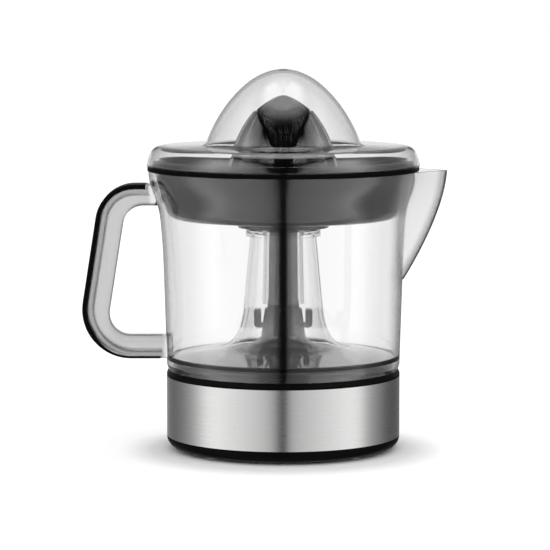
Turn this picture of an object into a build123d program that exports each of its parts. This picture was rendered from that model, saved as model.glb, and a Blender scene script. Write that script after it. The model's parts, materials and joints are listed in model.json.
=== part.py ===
from build123d import *
import math
import os

# Citrus press juicer: motor base, clear jug, strainer, two cones and a cover, in millimetres.
# +Z is up along the drive axis, the base stands on Z = 0, the spout is at +X and the handle at -X.

# Clearances
running_gap = 0.06
fit_gap = 0.15
free_gap = 0.5
press_travel = 2.0
cut_over = 1.0

# Base shell
base_radius = 72.0
foot_height = 1.2
foot_clear = 3.0
foot_width = 10.0
foot_seat = 1.0
cover_height = 7.4
cover_floor = 2.5
cover_round = 7.0
cover_boss_height = 5.0
sleeve_height = 37.0
sleeve_wall = 0.8
housing_wall = 2.0
ring_edge = 1.5
ring_height = 4.0
ring_inset = 1.1
ledge_width = 8.0
ledge_thickness = 2.0
screw_inset = 8.05
screw_angle = 45.0
deck_screw_lag = 25.0
boss_radius = 4.0
boss_height = 15.0
boss_web = 3.0
cover_boss_margin = 1.5
vent_count = 20
vent_sectors = ((20.0, 125.0), (235.0, 340.0))
vent_gap = 6.0
vent_length = 11.0
vent_width = 2.4

# Screws
screw_radius = 1.5
screw_head_radius = 2.8
screw_head_height = 2.0
screw_reach = 8.0

# Cord gland at the back
gland_height = 16.0
gland_bore = 3.3
gland_body = 5.2
gland_flange = 7.0
gland_outside = 2.5
gland_inside = 3.0

# Deck, tower and lugs
deck_wall = 2.5
plinth_height = 7.5
plinth_round = 2.0
plinth_inset = 0.5
tower_height = 39.4
tower_radius = 11.4
tower_taper = 2.0
tower_foot_spread = 13.0
tower_foot_bend = 0.3
tower_knee_bend = 0.4
tower_knee_rise = 0.8
tower_recess_depth = 3.2
lug_inner = 13.6
lug_depth = 4.2
lug_width = 8.0
lug_below_top = 0.4
lug_length = 11.2
lug_root = 3.0
lug_heel_round = 2.6
lug_round = 1.0

# Jug
jug_wall = 2.4
jug_height = 122.4
ankle_rise = 3.0
ankle_growth = 1.0
waist_rise = 66.4
waist_growth = 3.0
shoulder_rise = 94.4
shoulder_growth = 5.1
rim_growth = 12.1
flare_lead = 0.43
flare_lean = 0.3
skirt_wall = 2.2
skirt_depth = 6.3
floor_thickness = 1.8
floor_climb = 4.7
floor_round = 1.2

# Jug column
column_height = 86.1
column_clear = 7.3
column_wall = 2.2
column_foot_radius = 42.0
column_neck_radius = 23.8
column_neck_rise = 45.4
column_top_radius = 20.4
collar_radius = 23.0
collar_height = 3.7
guide_radius = 10.4
guide_growth = 1.0
guide_wall = 1.5
guide_end_gap = 3.2
keyway_rail = 1.4
keyway_length = 12.0
trumpet_neck_bend = 0.64
trumpet_foot_bend = 0.78

# Jug spout
spout_reach = 27.3
spout_rise = 53.9
spout_tip_radius = 4.0
spout_root_depth = 30.0
spout_root_low = 15.0
spout_root_top = 35.5
spout_power = 1.55

# Jug handle and its grip
handle_width = 20.0
handle_top_rise = 114.2
handle_bottom_rise = 7.0
handle_reach_top = 39.9
handle_reach_bottom = 56.8
handle_bar_top = 13.3
handle_bar_side = 17.0
handle_bar_bottom = 13.7
handle_corner_top = 24.0
handle_corner_bottom = 30.0
handle_opening_corner = 13.0
handle_edge_round = 3.0
handle_palm_round = 6.0
grip_width = 14.0
grip_top = 3.0
grip_side = 3.4
grip_bottom = 1.4
grip_end_gap = 2.8
channel_width = 9.0
channel_depth = 4.2
channel_round = 3.8

# Strainer and gasket
strainer_floor = 2.4
strainer_wall = 2.2
strainer_gap = 1.2
strainer_slope = 8.4
strainer_corner = 8.0
flange_thickness = 2.6
flange_inset = 0.8
lip_height = 1.4
lip_width = 2.0
slot_count = 36
slot_width = 2.2
slot_inner = 41.0
slot_length = 21.0
hub_wall = 3.0
hub_rise = 3.2
drip_radius = 28.0
drip_wall = 2.0
drip_drop = 5.8
gasket_width = 1.2
gasket_rib = 1.0

# Dust cover
cover_wall = 2.0
cover_overhang = 1.2
cover_shoulder_height = 12.4
cover_shoulder_inset = 7.6
cover_side_bend = 0.5
cover_brow_bend = 0.65
dome_radius = 48.2
dome_height = 47.1
dome_side_bend = 0.38
dome_side_lean = 0.88
dome_top_bend = 0.49

# Cones, hub bush and drive stem
cone_height = 66.5
cone_radius = 36.5
cone_power = 0.56
cone_floor_gap = 6.6
cone_wall = 2.2
large_flutes = 18
large_flute_depth = 1.0
wing_height = 56.5
wing_edge = 0.6
notch_bottom = 21.0
notch_slope = 0.48
notch_round = 3.0
rib_thickness = 2.0
rib_height = 36.0
small_cone_radius = 23.5
small_cone_shoulder = 16.6
small_cone_shoulder_height = 57.0
small_cone_sides = 4
flat_depth = 3.6
flat_top = 54.0
flat_runout = 8.0
flat_rib_count = 4
flat_rib_pitch = 3.8
flat_rib_width = 1.2
flat_rib_inset = 1.2
small_cone_tip = 0.7
small_cone_wall = 2.4
bush_radius = 10.5
bush_flange_radius = 14.0
bush_flange = 1.6
bush_length = 11.5
stem_radius = 8.6
stem_foot_radius = 9.8
stem_foot_height = 2.6
stem_swell = 0.6
stem_socket_length = 28.0
stem_in_cone = 22.0
clip_thickness = 1.0
clip_groove = 0.8
clip_lip = 1.8

# Spindle, press cup and switch
spindle_radius = 4.5
hex_across = 9.0
hex_gap = 0.15
flat_across = 7.0
spindle_bush_wall = 2.0
spindle_bush_length = 10.0
lower_bush_length = 5.0
lower_bush_flange = 1.0
seal_height = 1.6
seal_radius = 7.6
cup_radius = 7.0
cup_height = 10.0
cup_socket = 6.0
cup_guide_wall = 2.0
cup_guide_height = 11.0
spring_wire = 1.0
spring_radius = 5.2
spring_turns = 4.0
spring_gap = 8.3
tongue_reach = 23.0
tongue_width = 5.0
tongue_thickness = 2.0
tongue_drop = 4.5
switch_length = 20.0
switch_width = 6.4
switch_height = 10.0
switch_place = 20.0
switch_round = 0.6
plunger_radius = 1.5
plunger_bury = 4.7

# Motor
coil_clear = 3.8
coil_build = 4.5
stack_height = 14.0
rotor_inset = 27.45
rotor_angle = 156.0
rotor_radius = 11.5
rotor_overhang = 1.0
air_gap = 0.7
shaft_radius = 2.0
rotor_bush_radius = 4.5
rotor_bush_length = 4.5
rotor_boss_wall = 2.0
core_half_width = 17.0
core_head = 16.0
core_tail = 43.0
core_yoke = 9.0
core_leg = 9.0
core_slot = 14.0
core_screw_edge = 4.0
pole_wall = 2.5
bobbin_wall = 0.8
bobbin_flange = 1.0

# Gear train
module = 0.7
pressure_angle = 20.0
addendum = 0.8
dedendum = 1.05
backlash = 0.14
motor_teeth = 14
idler_teeth = 63
idler_pinion_teeth = 14
output_teeth = 84
plate_thickness = 1.5
plate_inset = 6.05
plate_gap = 0.5
window_circle = 34.7
window_width = 18.9
window_start = -35.0
window_sweep = 50.0
gear_gap = 1.0
first_gear_width = 5.0
second_gear_width = 5.5
axle_radius = 2.5
axle_boss = 5.0
post_inset = 7.0
post_radius = 4.5
post_angles = (35.0, 225.0, 300.0)
output_hub_radius = 9.0

# Levels worked out from the sizes above, from the floor up
cover_floor_top = foot_height + cover_floor
cover_screw_seat = foot_height + screw_head_height + free_gap
sleeve_bottom = foot_height + cover_height
sleeve_top = sleeve_bottom + sleeve_height
ring_top = sleeve_top + ring_height
ledge_top = sleeve_top + ledge_thickness
plinth_top = ledge_top + plinth_height
rim_top = ring_top + jug_height
waist_height = ring_top + waist_rise
shoulder_height = ring_top + shoulder_rise
floor_edge = ring_top + skirt_depth + floor_thickness
floor_foot = floor_edge + floor_climb
column_neck = ring_top + column_neck_rise
column_top = ring_top + column_height
tower_top = ledge_top + tower_height
strainer_under = column_top + column_clear
strainer_depth = rim_top - strainer_under
strainer_top = strainer_under + strainer_floor
flange_top = rim_top + flange_thickness
hub_top = strainer_top + hub_rise
bush_flange_bottom = hub_top + press_travel + free_gap
cone_bottom = strainer_top + cone_floor_gap
small_cone_bottom = bush_flange_bottom + bush_flange + fit_gap

# Levels of the motor and the gears
coil_bottom = cover_floor_top + coil_clear
stack_bottom = coil_bottom + coil_build
stack_top = stack_bottom + stack_height
coil_top = stack_top + coil_build
plate_bottom = coil_top + plate_gap
plate_top = plate_bottom + plate_thickness
first_gear_bottom = plate_top + gear_gap
first_gear_top = first_gear_bottom + first_gear_width
second_gear_bottom = first_gear_top + gear_gap
second_gear_top = second_gear_bottom + second_gear_width
output_hub_top = second_gear_top + gear_gap
spring_bottom = cover_floor_top
cup_bottom = spring_bottom + spring_gap
cup_top = cup_bottom + cup_height
spindle_bottom = cup_top - cup_socket
tongue_bottom = cup_top - tongue_drop
tower_recess_floor = tower_top - tower_recess_depth
stem_bottom = tower_top + free_gap
spindle_top = stem_bottom + stem_socket_length

# Radii worked out from the sizes above
housing_outer = base_radius - sleeve_wall - fit_gap
housing_inner = housing_outer - housing_wall
screw_circle = housing_inner - screw_inset
foot_outer = screw_circle - boss_radius - foot_clear
foot_inner = foot_outer - foot_width
vent_inner = foot_inner - vent_gap - vent_length
plate_radius = housing_inner - plate_inset
post_circle = plate_radius - post_inset
rotor_place = housing_inner - rotor_inset
deck_screw_start = screw_angle - deck_screw_lag
foot_radius = base_radius - ring_inset
plinth_radius = foot_radius - skirt_wall - plinth_inset
deck_screw_circle = plinth_radius - deck_wall - screw_radius
rim_radius = foot_radius + rim_growth
flange_radius = rim_radius - flange_inset
strainer_top_radius = rim_radius - jug_wall - strainer_gap
strainer_bottom_radius = strainer_top_radius - strainer_slope
tower_recess_radius = stem_foot_radius + free_gap
hub_bore = bush_radius + running_gap
bush_bore = stem_radius + running_gap
column_foot_slope = floor_climb / (foot_radius - skirt_wall - column_foot_radius)

# Gear centres: the idler stands where both centre distances close
rotor_to_idler = module * (motor_teeth + idler_teeth) / 2
idler_to_output = module * (idler_pinion_teeth + output_teeth) / 2
closing = rotor_place ** 2 + idler_to_output ** 2 - rotor_to_idler ** 2
idler_angle = rotor_angle - math.degrees(math.acos(closing / (2 * rotor_place * idler_to_output)))


def polar(radius, degrees):
    angle = math.radians(degrees)
    return (radius * math.cos(angle), radius * math.sin(angle))


rotor_x, rotor_y = polar(rotor_place, rotor_angle)
idler_x, idler_y = polar(idler_to_output, idler_angle)
rotor_axis = Pos(rotor_x, rotor_y, 0)
idler_axis = Pos(idler_x, idler_y, 0)
idler_from_rotor = math.degrees(math.atan2(idler_y - rotor_y, idler_x - rotor_x))


def at(radius, height):
    return (radius, 0, height)


def spin(*curves):
    edges = [edge for curve in curves for edge in curve.edges()]
    return revolve(make_face(edges), Axis.Z)


def spin_points(*points):
    return spin(Polyline(*[at(*point) for point in points], close=True))


def rod(radius, low, high):
    return Pos(0, 0, low) * extrude(Circle(radius), high - low)


def tube(outer, inner, low, high):
    return Pos(0, 0, low) * extrude(Circle(outer) - Circle(inner), high - low)


def around(shape, angles):
    return [Rot(0, 0, angle) * shape for angle in angles]


def ring_of(shape, count, start=0.0):
    return around(shape, [start + 360.0 * index / count for index in range(count)])


def joined(shapes):
    return Part() + list(shapes)


def box_between(x_low, x_high, y_low, y_high, z_low, z_high):
    size = Box(x_high - x_low, y_high - y_low, z_high - z_low)
    return Pos((x_low + x_high) / 2, (y_low + y_high) / 2, (z_low + z_high) / 2) * size


def screw(seat, reach):
    # The head hangs below the seat and the shank goes up into the boss
    return rod(screw_head_radius, seat - screw_head_height, seat) + rod(screw_radius, seat, seat + reach)


# Base shell


def make_steel_sleeve():
    sleeve = tube(base_radius, base_radius - sleeve_wall, sleeve_bottom, sleeve_top)
    return sleeve - gland_hole(gland_body + fit_gap)


def make_motor_housing():
    ring = spin_points(
        (housing_inner, sleeve_bottom),
        (housing_outer, sleeve_bottom),
        (housing_outer, sleeve_top),
        (base_radius, sleeve_top),
        (base_radius, sleeve_top + ring_edge),
        (foot_radius, ring_top),
        (plinth_radius + fit_gap, ring_top),
        (plinth_radius + fit_gap, ledge_top),
        (housing_inner - ledge_width, ledge_top),
        (housing_inner - ledge_width, sleeve_top),
        (housing_inner, sleeve_top),
    )
    boss_bottom = foot_height + cover_boss_height
    boss_top = boss_bottom + boss_height
    boss = Pos(screw_circle, 0, 0) * rod(boss_radius, boss_bottom, boss_top)
    web = box_between(
        screw_circle, housing_inner + fit_gap, -boss_web / 2, boss_web / 2, sleeve_bottom, boss_top
    )
    hole_radius = screw_radius + fit_gap
    pilot = Pos(screw_circle, 0, 0) * rod(hole_radius, boss_bottom, boss_bottom + screw_reach + fit_gap)
    deck_hole = Pos(deck_screw_circle, 0, 0) * rod(hole_radius, sleeve_top, ledge_top)
    housing = ring + ring_of(boss + web, 4, screw_angle)
    housing -= ring_of(pilot, 4, screw_angle)
    housing -= ring_of(deck_hole, 4, deck_screw_start)
    return housing - gland_hole(gland_body + fit_gap)


def make_bottom_cover():
    outline = FilletPolyline(
        at(0, foot_height),
        at(base_radius, foot_height),
        at(base_radius, sleeve_bottom),
        at(0, sleeve_bottom),
        radius=[0, cover_round, 0, 0],
        close=True,
    )
    tray = spin(outline) - rod(housing_inner - fit_gap, cover_floor_top, sleeve_bottom)
    boss_top = foot_height + cover_boss_height
    screw_boss = Pos(screw_circle, 0, 0) * rod(boss_radius + cover_boss_margin, foot_height, boss_top)
    head_pocket = rod(screw_head_radius + fit_gap, foot_height, cover_screw_seat)
    shank_hole = rod(screw_radius + fit_gap, cover_screw_seat, boss_top)
    screw_hole = Pos(screw_circle, 0, 0) * (head_pocket + shank_hole)
    foot_groove = tube(foot_outer + fit_gap, foot_inner - fit_gap, foot_height, foot_height + foot_seat)
    vent = extrude(SlotOverall(vent_length, vent_width), cover_floor)
    vent = Pos(vent_inner + vent_length / 2, 0, foot_height) * vent
    guide_outer = cup_radius + running_gap + cup_guide_wall
    guide_top = cover_floor_top + cup_guide_height
    cup_guide = tube(guide_outer, cup_radius + running_gap, cover_floor_top, guide_top)
    bush_outer = rotor_bush_radius + fit_gap
    bush_boss = rotor_axis * tube(
        bush_outer + rotor_boss_wall, bush_outer, cover_floor_top, cover_floor_top + rotor_bush_length
    )
    cover = tray + ring_of(screw_boss, 4, screw_angle)
    cover -= ring_of(screw_hole, 4, screw_angle)
    cover -= foot_groove
    cover -= around(vent, vent_angles())
    return cover + cup_guide + bush_boss


def vent_angles():
    # Vents are left out under the motor, the switch and the shaft's boss
    angles = [360.0 * index / vent_count for index in range(vent_count)]
    return [angle for angle in angles if any(low < angle < high for low, high in vent_sectors)]


def make_foot_ring():
    return tube(foot_outer, foot_inner, 0, foot_height + foot_seat)


def make_cover_screws():
    reach = cover_boss_height - screw_head_height + screw_reach / 2
    one = Pos(screw_circle, 0, 0) * screw(cover_screw_seat, reach)
    return ring_of(one, 4, screw_angle)


def make_deck_screws():
    one = Pos(deck_screw_circle, 0, 0) * screw(sleeve_top, ledge_thickness + screw_reach / 2)
    return ring_of(one, 4, deck_screw_start)


def gland_hole(radius):
    return Pos(0, 0, gland_height) * Rot(-90, 0, 0) * extrude(Circle(radius), base_radius + gland_outside)


def make_cord_gland():
    def along_y(radius, low, high):
        return Pos(0, low, gland_height) * Rot(-90, 0, 0) * extrude(Circle(radius), high - low)

    inner_seat = housing_inner - fit_gap
    outer_seat = base_radius + fit_gap
    tail = inner_seat - gland_inside
    nose = outer_seat + gland_outside
    low = gland_height - gland_flange - cut_over
    high = gland_height + gland_flange + cut_over
    inside = along_y(gland_flange, tail, outer_seat) & rod(inner_seat, low, high)
    outside = along_y(gland_flange, tail, nose) - rod(outer_seat, low, high)
    return inside + outside + along_y(gland_body, tail, nose) - along_y(gland_bore, tail, nose)


def deck_height(radius):
    # The deck climbs beside the jug's floor
    return plinth_top + column_foot_slope * (plinth_radius - radius)


def make_top_deck():
    tower_base = tower_radius + tower_taper
    spread = tower_base + tower_foot_spread
    spread_height = deck_height(spread)
    tower_knee = spread_height + tower_foot_spread * tower_knee_rise
    foot_run = tower_foot_spread * (1 - tower_foot_bend)
    inner_spread = spread - deck_wall
    shell = spin(
        FilletPolyline(
            at(plinth_radius - deck_wall, ledge_top),
            at(plinth_radius, ledge_top),
            at(plinth_radius, plinth_top),
            at(spread, spread_height),
            at(inner_spread, spread_height - deck_wall),
            at(plinth_radius - deck_wall, plinth_top - deck_wall),
            radius=[0, 0, plinth_round, 0, 0, 0],
            close=True,
        )
    )
    foot = Bezier(
        at(spread, spread_height),
        at(spread - foot_run, spread_height + column_foot_slope * foot_run),
        at(tower_base, spread_height + tower_foot_spread * tower_knee_bend),
        at(tower_base, tower_knee),
    )
    sides = Polyline(
        at(tower_base, tower_knee),
        at(tower_radius, tower_top),
        at(0, tower_top),
        at(0, output_hub_top + running_gap),
        at(output_hub_radius, output_hub_top + running_gap),
        at(output_hub_radius, spread_height - deck_wall),
        at(inner_spread, spread_height - deck_wall),
        at(spread, spread_height),
    )
    deck = shell + spin(foot, sides) + ring_of(lug(), 2)
    deck += deck_posts()
    deck -= rod(spindle_radius + free_gap, output_hub_top, tower_top)
    deck -= rod(seal_radius + fit_gap, upper_bush_bottom(), tower_recess_floor)
    deck -= rod(tower_recess_radius, tower_recess_floor, tower_top)
    hole_radius = screw_radius + fit_gap
    pilot = rod(hole_radius, plate_top, plate_top + screw_reach + fit_gap)
    deck -= [Pos(*polar(post_circle, angle)) * pilot for angle in post_angles]
    deck_pilot = Pos(deck_screw_circle, 0, 0) * rod(hole_radius, ledge_top, ledge_top + screw_reach / 2)
    deck -= ring_of(deck_pilot, 4, deck_screw_start)
    return deck - idler_axis * rod(axle_radius + running_gap, axle_boss_bottom(), axle_top() + free_gap)


def lug():
    # An upright tongue beside the tower, carried by a short root at its heel
    high = tower_top - lug_below_top
    low = high - lug_length
    outer = lug_inner + lug_depth
    outline = FilletPolyline(
        at(lug_inner, high),
        at(outer, high),
        at(outer, low),
        at(tower_radius, low),
        at(tower_radius, low + lug_root),
        at(lug_inner, low + lug_root),
        radius=[lug_round, lug_round, lug_heel_round, 0, 0, 0],
        close=True,
    )
    return extrude(make_face(outline.edges()), lug_width / 2, both=True)


def deck_middle(radius):
    return deck_height(radius) - deck_wall / 2


def deck_posts():
    # Posts reach down from the deck to the gear plate, the axle and the ledge screws
    post = rod(post_radius, plate_top, deck_middle(post_circle))
    posts = [Pos(*polar(post_circle, angle)) * post for angle in post_angles]
    axle_seat = idler_axis * rod(axle_boss, axle_boss_bottom(), deck_middle(idler_to_output))
    screw_seat = rod(2 * screw_radius, ledge_top, deck_middle(deck_screw_circle))
    screw_seat = Pos(deck_screw_circle, 0, 0) * screw_seat
    return posts + [axle_seat] + ring_of(screw_seat, 4, deck_screw_start)


def axle_boss_bottom():
    return second_gear_top + gear_gap


def axle_top():
    return axle_boss_bottom() + axle_radius


def upper_bush_bottom():
    return tower_recess_floor - seal_height - spindle_bush_length


# Jug


def wall_line(inset):
    foot = at(foot_radius - inset, ring_top)
    ankle = at(foot_radius + ankle_growth - inset, ring_top + ankle_rise)
    waist = at(foot_radius + waist_growth - inset, waist_height)
    shoulder = at(foot_radius + shoulder_growth - inset, shoulder_height)
    rim = at(rim_radius - inset, rim_top)
    straight = Polyline(foot, ankle, waist)
    bend = TangentArc(waist, shoulder, tangent=straight % 1)
    reach = (jug_height - shoulder_rise) * flare_lead
    lead = Vector(shoulder) + (bend % 1) * reach
    flare = Bezier(shoulder, lead, at(rim_radius - inset - flare_lean, rim_top - reach), rim)
    return [straight, bend, flare]


def jug_plug(inset):
    rim = at(rim_radius - inset, rim_top)
    foot = at(foot_radius - inset, ring_top)
    return spin(*wall_line(inset), Polyline(rim, at(0, rim_top), at(0, ring_top), foot))


def trumpet(neck_radius, foot_radius_at, foot_level):
    taper = (column_neck_radius - column_top_radius) / (column_top - collar_height - column_neck)
    bend = (column_neck - foot_level) * trumpet_neck_bend
    reach = (column_foot_radius - column_neck_radius) * trumpet_foot_bend
    return Bezier(
        at(neck_radius, column_neck),
        at(neck_radius + taper * bend, column_neck - bend),
        at(foot_radius_at - reach, foot_level + column_foot_slope * reach),
        at(foot_radius_at, foot_level),
    )


def column_core():
    # Everything under the bowl's floor and inside the column
    edge = foot_radius + rim_growth
    edge_level = floor_foot - column_foot_slope * (edge - column_foot_radius)
    neck = at(column_neck_radius, column_neck)
    foot = at(column_foot_radius, floor_foot)
    outside = Polyline(foot, at(edge, edge_level), at(edge, ring_top), at(0, ring_top))
    inside = Polyline(
        at(0, ring_top),
        at(0, column_top),
        at(collar_radius, column_top),
        at(collar_radius, column_top - collar_height),
        at(column_top_radius, column_top - collar_height),
        neck,
    )
    return spin(trumpet(column_neck_radius, column_foot_radius, floor_foot), outside, inside)


def column_hollow():
    under_foot = floor_foot - floor_thickness
    skirt = foot_radius - skirt_wall
    under_edge = under_foot - column_foot_slope * (skirt - column_foot_radius)
    cap = column_top - jug_wall
    neck = column_neck_radius - column_wall
    foot = at(column_foot_radius, under_foot)
    outside = Polyline(foot, at(skirt, under_edge), at(skirt, ring_top), at(0, ring_top))
    top = at(column_top_radius - column_wall, cap)
    inside = Polyline(at(0, ring_top), at(0, cap), top, at(neck, column_neck))
    return spin(trumpet(neck, column_foot_radius, under_foot), outside, inside)


def guide_tube():
    low = tower_top + guide_end_gap
    high = column_top - jug_wall / 2
    return spin_points(
        (guide_radius, high),
        (guide_radius + guide_wall, high),
        (guide_radius + guide_growth + guide_wall, low),
        (guide_radius + guide_growth, low),
    )


def keyway_rails():
    # Two rails beside each lug stop the jug from turning
    near = lug_width / 2 + free_gap
    far = column_neck_radius + column_wall
    rail = box_between(lug_inner, far, near, near + keyway_rail, tower_top - keyway_length, tower_top)
    pair = rail + mirror(rail, Plane.XZ)
    return joined(ring_of(pair, 2)) & column_core()


def spout_section(share, inset):
    # A round tip and a wider round root inside the bowl, joined by their common tangents
    height = rim_top - spout_rise_total() * (1 - share)
    root = spout_root_low + (spout_root_top - spout_root_low) * share - inset
    root_place = wall_radius(height) - spout_root_depth
    tip = spout_tip_radius - inset
    tip_place = spout_reach_at(share) - spout_tip_radius
    cosine = (root - tip) / (tip_place - root_place)
    sine = math.sqrt(1 - cosine ** 2)
    left = (root_place + root * cosine, root * sine)
    right = (root_place + root * cosine, -root * sine)
    tip_left = (tip_place + tip * cosine, tip * sine)
    tip_right = (tip_place + tip * cosine, -tip * sine)
    edges = [
        Line(left, tip_left),
        ThreePointArc(tip_left, (tip_place + tip, 0), tip_right),
        Line(tip_right, right),
        Line(right, left),
    ]
    return Pos(0, 0, height) * make_face(edges)


def spout_rise_total():
    return jug_height - spout_rise


def spout_reach_at(share):
    start = wall_radius(rim_top - spout_rise_total())
    return start + spout_reach * (1 - (1 - share) ** spout_power)


def wall_radius(height):
    # The jug's outer radius at a height, found on its wall line
    level = Plane.XY.offset(height)
    for curve in wall_line(0):
        for edge in curve.edges():
            low, high = sorted((edge.start_point().Z, edge.end_point().Z))
            if low <= height <= high:
                return edge.intersect(level)[0].X
    return rim_radius


def spout_solid(inset):
    shares = (0.02, 0.07, 0.16, 0.32, 0.52, 0.76, 1.0)
    return loft([spout_section(share, inset) for share in shares])


def handle_outline(top, side, bottom, top_corner, bottom_corner):
    root = foot_radius - 2 * jug_wall
    high = ring_top + handle_top_rise
    low = ring_top + handle_bottom_rise
    lean = (handle_reach_bottom - handle_reach_top) / (high - low)

    def outer(height):
        return base_radius + handle_reach_top + lean * (high - height) - side

    corners = FilletPolyline(
        at(-root, high - top),
        at(-outer(high - top), high - top),
        at(-outer(low + bottom), low + bottom),
        at(-root, low + bottom),
        radius=[0, top_corner, bottom_corner, 0],
        close=True,
    )
    return make_face(corners.edges())


def handle_slab(face, width):
    return extrude(face, width / 2, both=True)


def band_inside(top, side, bottom):
    inner_top_corner = handle_corner_top - min(top, side)
    inner_bottom_corner = handle_corner_bottom - min(side, bottom)
    return handle_outline(top, side, bottom, inner_top_corner, inner_bottom_corner)


def handle_band(top, side, bottom, width):
    # A band of the handle's outer edge, this deep on its top, side and bottom runs
    whole = handle_outline(0, 0, 0, handle_corner_top, handle_corner_bottom)
    return handle_slab(whole - band_inside(top, side, bottom), width)


def rim_edges(slab, width):
    # The edges round both flat sides, away from the jug
    edges = slab.edges().filter_by_position(Axis.Y, width / 2, width / 2)
    edges += slab.edges().filter_by_position(Axis.Y, -width / 2, -width / 2)
    return [edge for edge in edges if edge.center().X < -foot_radius]


def outline_edges(slab, outline, width):
    # Those of the slab's rim edges that lie over the edges of this outline
    places = [edge.center() for edge in outline.edges()]

    def over_outline(edge):
        middle = edge.center()
        return any(math.hypot(middle.X - place.X, middle.Z - place.Z) < free_gap for place in places)

    return [edge for edge in rim_edges(slab, width) if over_outline(edge)]


def make_handle():
    whole = handle_outline(0, 0, 0, handle_corner_top, handle_corner_bottom)
    opening = handle_outline(
        handle_bar_top, handle_bar_side, handle_bar_bottom, handle_opening_corner, handle_opening_corner
    )
    bar = fillet(rim_edges(handle_slab(whole, handle_width), handle_width), handle_edge_round)
    bar -= handle_slab(opening, handle_width)
    bar = fillet(outline_edges(bar, opening, handle_width), handle_palm_round)
    seat = handle_band(grip_top + fit_gap, grip_side + fit_gap, grip_bottom + fit_gap, grip_width)
    bed_depths = [depth + channel_depth for depth in (grip_top, grip_side, grip_bottom)]
    channel = handle_band(*bed_depths, channel_width)
    channel = fillet(outline_edges(channel, band_inside(*bed_depths), channel_width), channel_round)
    keep_off = jug_plug(-grip_end_gap + fit_gap)
    return bar - (seat - keep_off) - (channel - keep_off) - jug_plug(jug_wall / 2)


def make_jug():
    bowl = jug_plug(jug_wall) - column_core()
    corner = [edge for edge in bowl.edges().filter_by(GeomType.CIRCLE) if is_bowl_corner(edge)]
    bowl = fillet(corner, floor_round)
    spout_inside = spout_solid(jug_wall)
    lip = spout_inside.faces().sort_by(Axis.Z)[-1]
    spout_inside += extrude(lip, jug_wall)
    jug = jug_plug(0) - column_hollow()
    jug += spout_solid(0)
    jug += make_handle()
    jug -= bowl
    jug -= spout_inside
    jug += guide_tube()
    jug += keyway_rails()
    bore = spin_points(
        (0, tower_top),
        (guide_radius + guide_growth, tower_top + guide_end_gap),
        (guide_radius, column_top - jug_wall / 2),
        (guide_radius, column_top),
        (0, column_top),
    )
    return jug - bore


def is_bowl_corner(edge):
    return edge.center().Z < floor_edge + floor_climb and edge.radius > column_foot_radius + floor_round


def make_handle_grip():
    strip = handle_band(grip_top, grip_side, grip_bottom, grip_width - 2 * fit_gap)
    return strip - jug_plug(-grip_end_gap)


# Strainer


def make_strainer():
    outside = spin(
        FilletPolyline(
            at(0, strainer_under),
            at(strainer_bottom_radius, strainer_under),
            at(strainer_top_radius, rim_top),
            at(0, rim_top),
            radius=[0, strainer_corner, 0, 0],
            close=True,
        )
    )
    inner_bottom = strainer_bottom_radius - strainer_wall
    inner_top = inner_bottom + strainer_slope * (flange_top + lip_height - strainer_under) / strainer_depth
    inside = spin(
        FilletPolyline(
            at(0, strainer_top),
            at(inner_bottom, strainer_top),
            at(inner_top, flange_top + lip_height),
            at(0, flange_top + lip_height),
            radius=[0, strainer_corner - strainer_wall, 0, 0],
            close=True,
        )
    )
    flange = rod(flange_radius, rim_top, flange_top)
    lip = rod(inner_top + lip_width, flange_top, flange_top + lip_height)
    bowl = outside + flange + lip - inside
    slot = Pos(slot_inner + slot_length / 2, 0, strainer_under) * extrude(
        SlotOverall(slot_length, slot_width), strainer_floor
    )
    bowl -= ring_of(slot, slot_count)
    bowl += tube(drip_radius, drip_radius - drip_wall, strainer_under - drip_drop, strainer_under)
    bowl += rod(hub_bore + hub_wall, strainer_under - drip_drop, hub_top)
    bowl -= rod(hub_bore, strainer_under - drip_drop, hub_top)
    groove_low = gasket_rib_low() - fit_gap
    groove_high = groove_low + gasket_rib + 2 * fit_gap
    return bowl - tube(flange_radius, flange_radius - gasket_rib - fit_gap, groove_low, groove_high)


def gasket_rib_low():
    return rim_top + (flange_thickness - gasket_rib) / 2


def make_rim_gasket():
    inner = flange_radius + fit_gap
    band = tube(inner + gasket_width, inner, rim_top + fit_gap, flange_top)
    rib = tube(inner, flange_radius - gasket_rib, gasket_rib_low(), gasket_rib_low() + gasket_rib)
    return band + rib


def make_dust_cover():
    skirt = flange_radius + fit_gap + gasket_width + free_gap
    shoulder = flange_top + cover_shoulder_height
    brow = skirt - cover_shoulder_inset

    def shell(inset):
        side = Bezier(
            at(skirt - inset, flange_top),
            at(skirt - inset - cover_overhang, flange_top + cover_shoulder_height * cover_side_bend),
            at(brow - inset + cover_shoulder_inset * cover_brow_bend, shoulder - inset),
            at(brow - inset, shoulder - inset),
        )
        flat = Line(at(brow - inset, shoulder - inset), at(dome_radius - inset, shoulder - inset))
        top = shoulder + dome_height - inset
        dome = Bezier(
            at(dome_radius - inset, shoulder - inset),
            at((dome_radius - inset) * dome_side_lean, shoulder - inset + dome_height * dome_side_bend),
            at((dome_radius - inset) * dome_top_bend, top),
            at(0, top),
        )
        close = Polyline(at(0, top), at(0, flange_top), at(skirt - inset, flange_top))
        return spin(side, flat, dome, close)

    return shell(0) - shell(cover_wall)


# Cones and their bearing


def ogive(height):
    # Outer radius of the reamer at a height above the large cone's rim
    return cone_radius * (1 - (height / cone_height) ** 2) ** cone_power


def small_cone_radius_at(height):
    if height > small_cone_shoulder_height:
        return min(small_cone_shoulder, ogive(height))
    share = height / small_cone_shoulder_height
    return small_cone_radius - (small_cone_radius - small_cone_shoulder) * share ** 3


def flat_depth_at(height):
    # The small cone's flats run out into its round cap
    share = min(1.0, max(0.0, (flat_top - height) / flat_runout))
    return flat_depth * share ** 2 * (3 - 2 * share)


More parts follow.
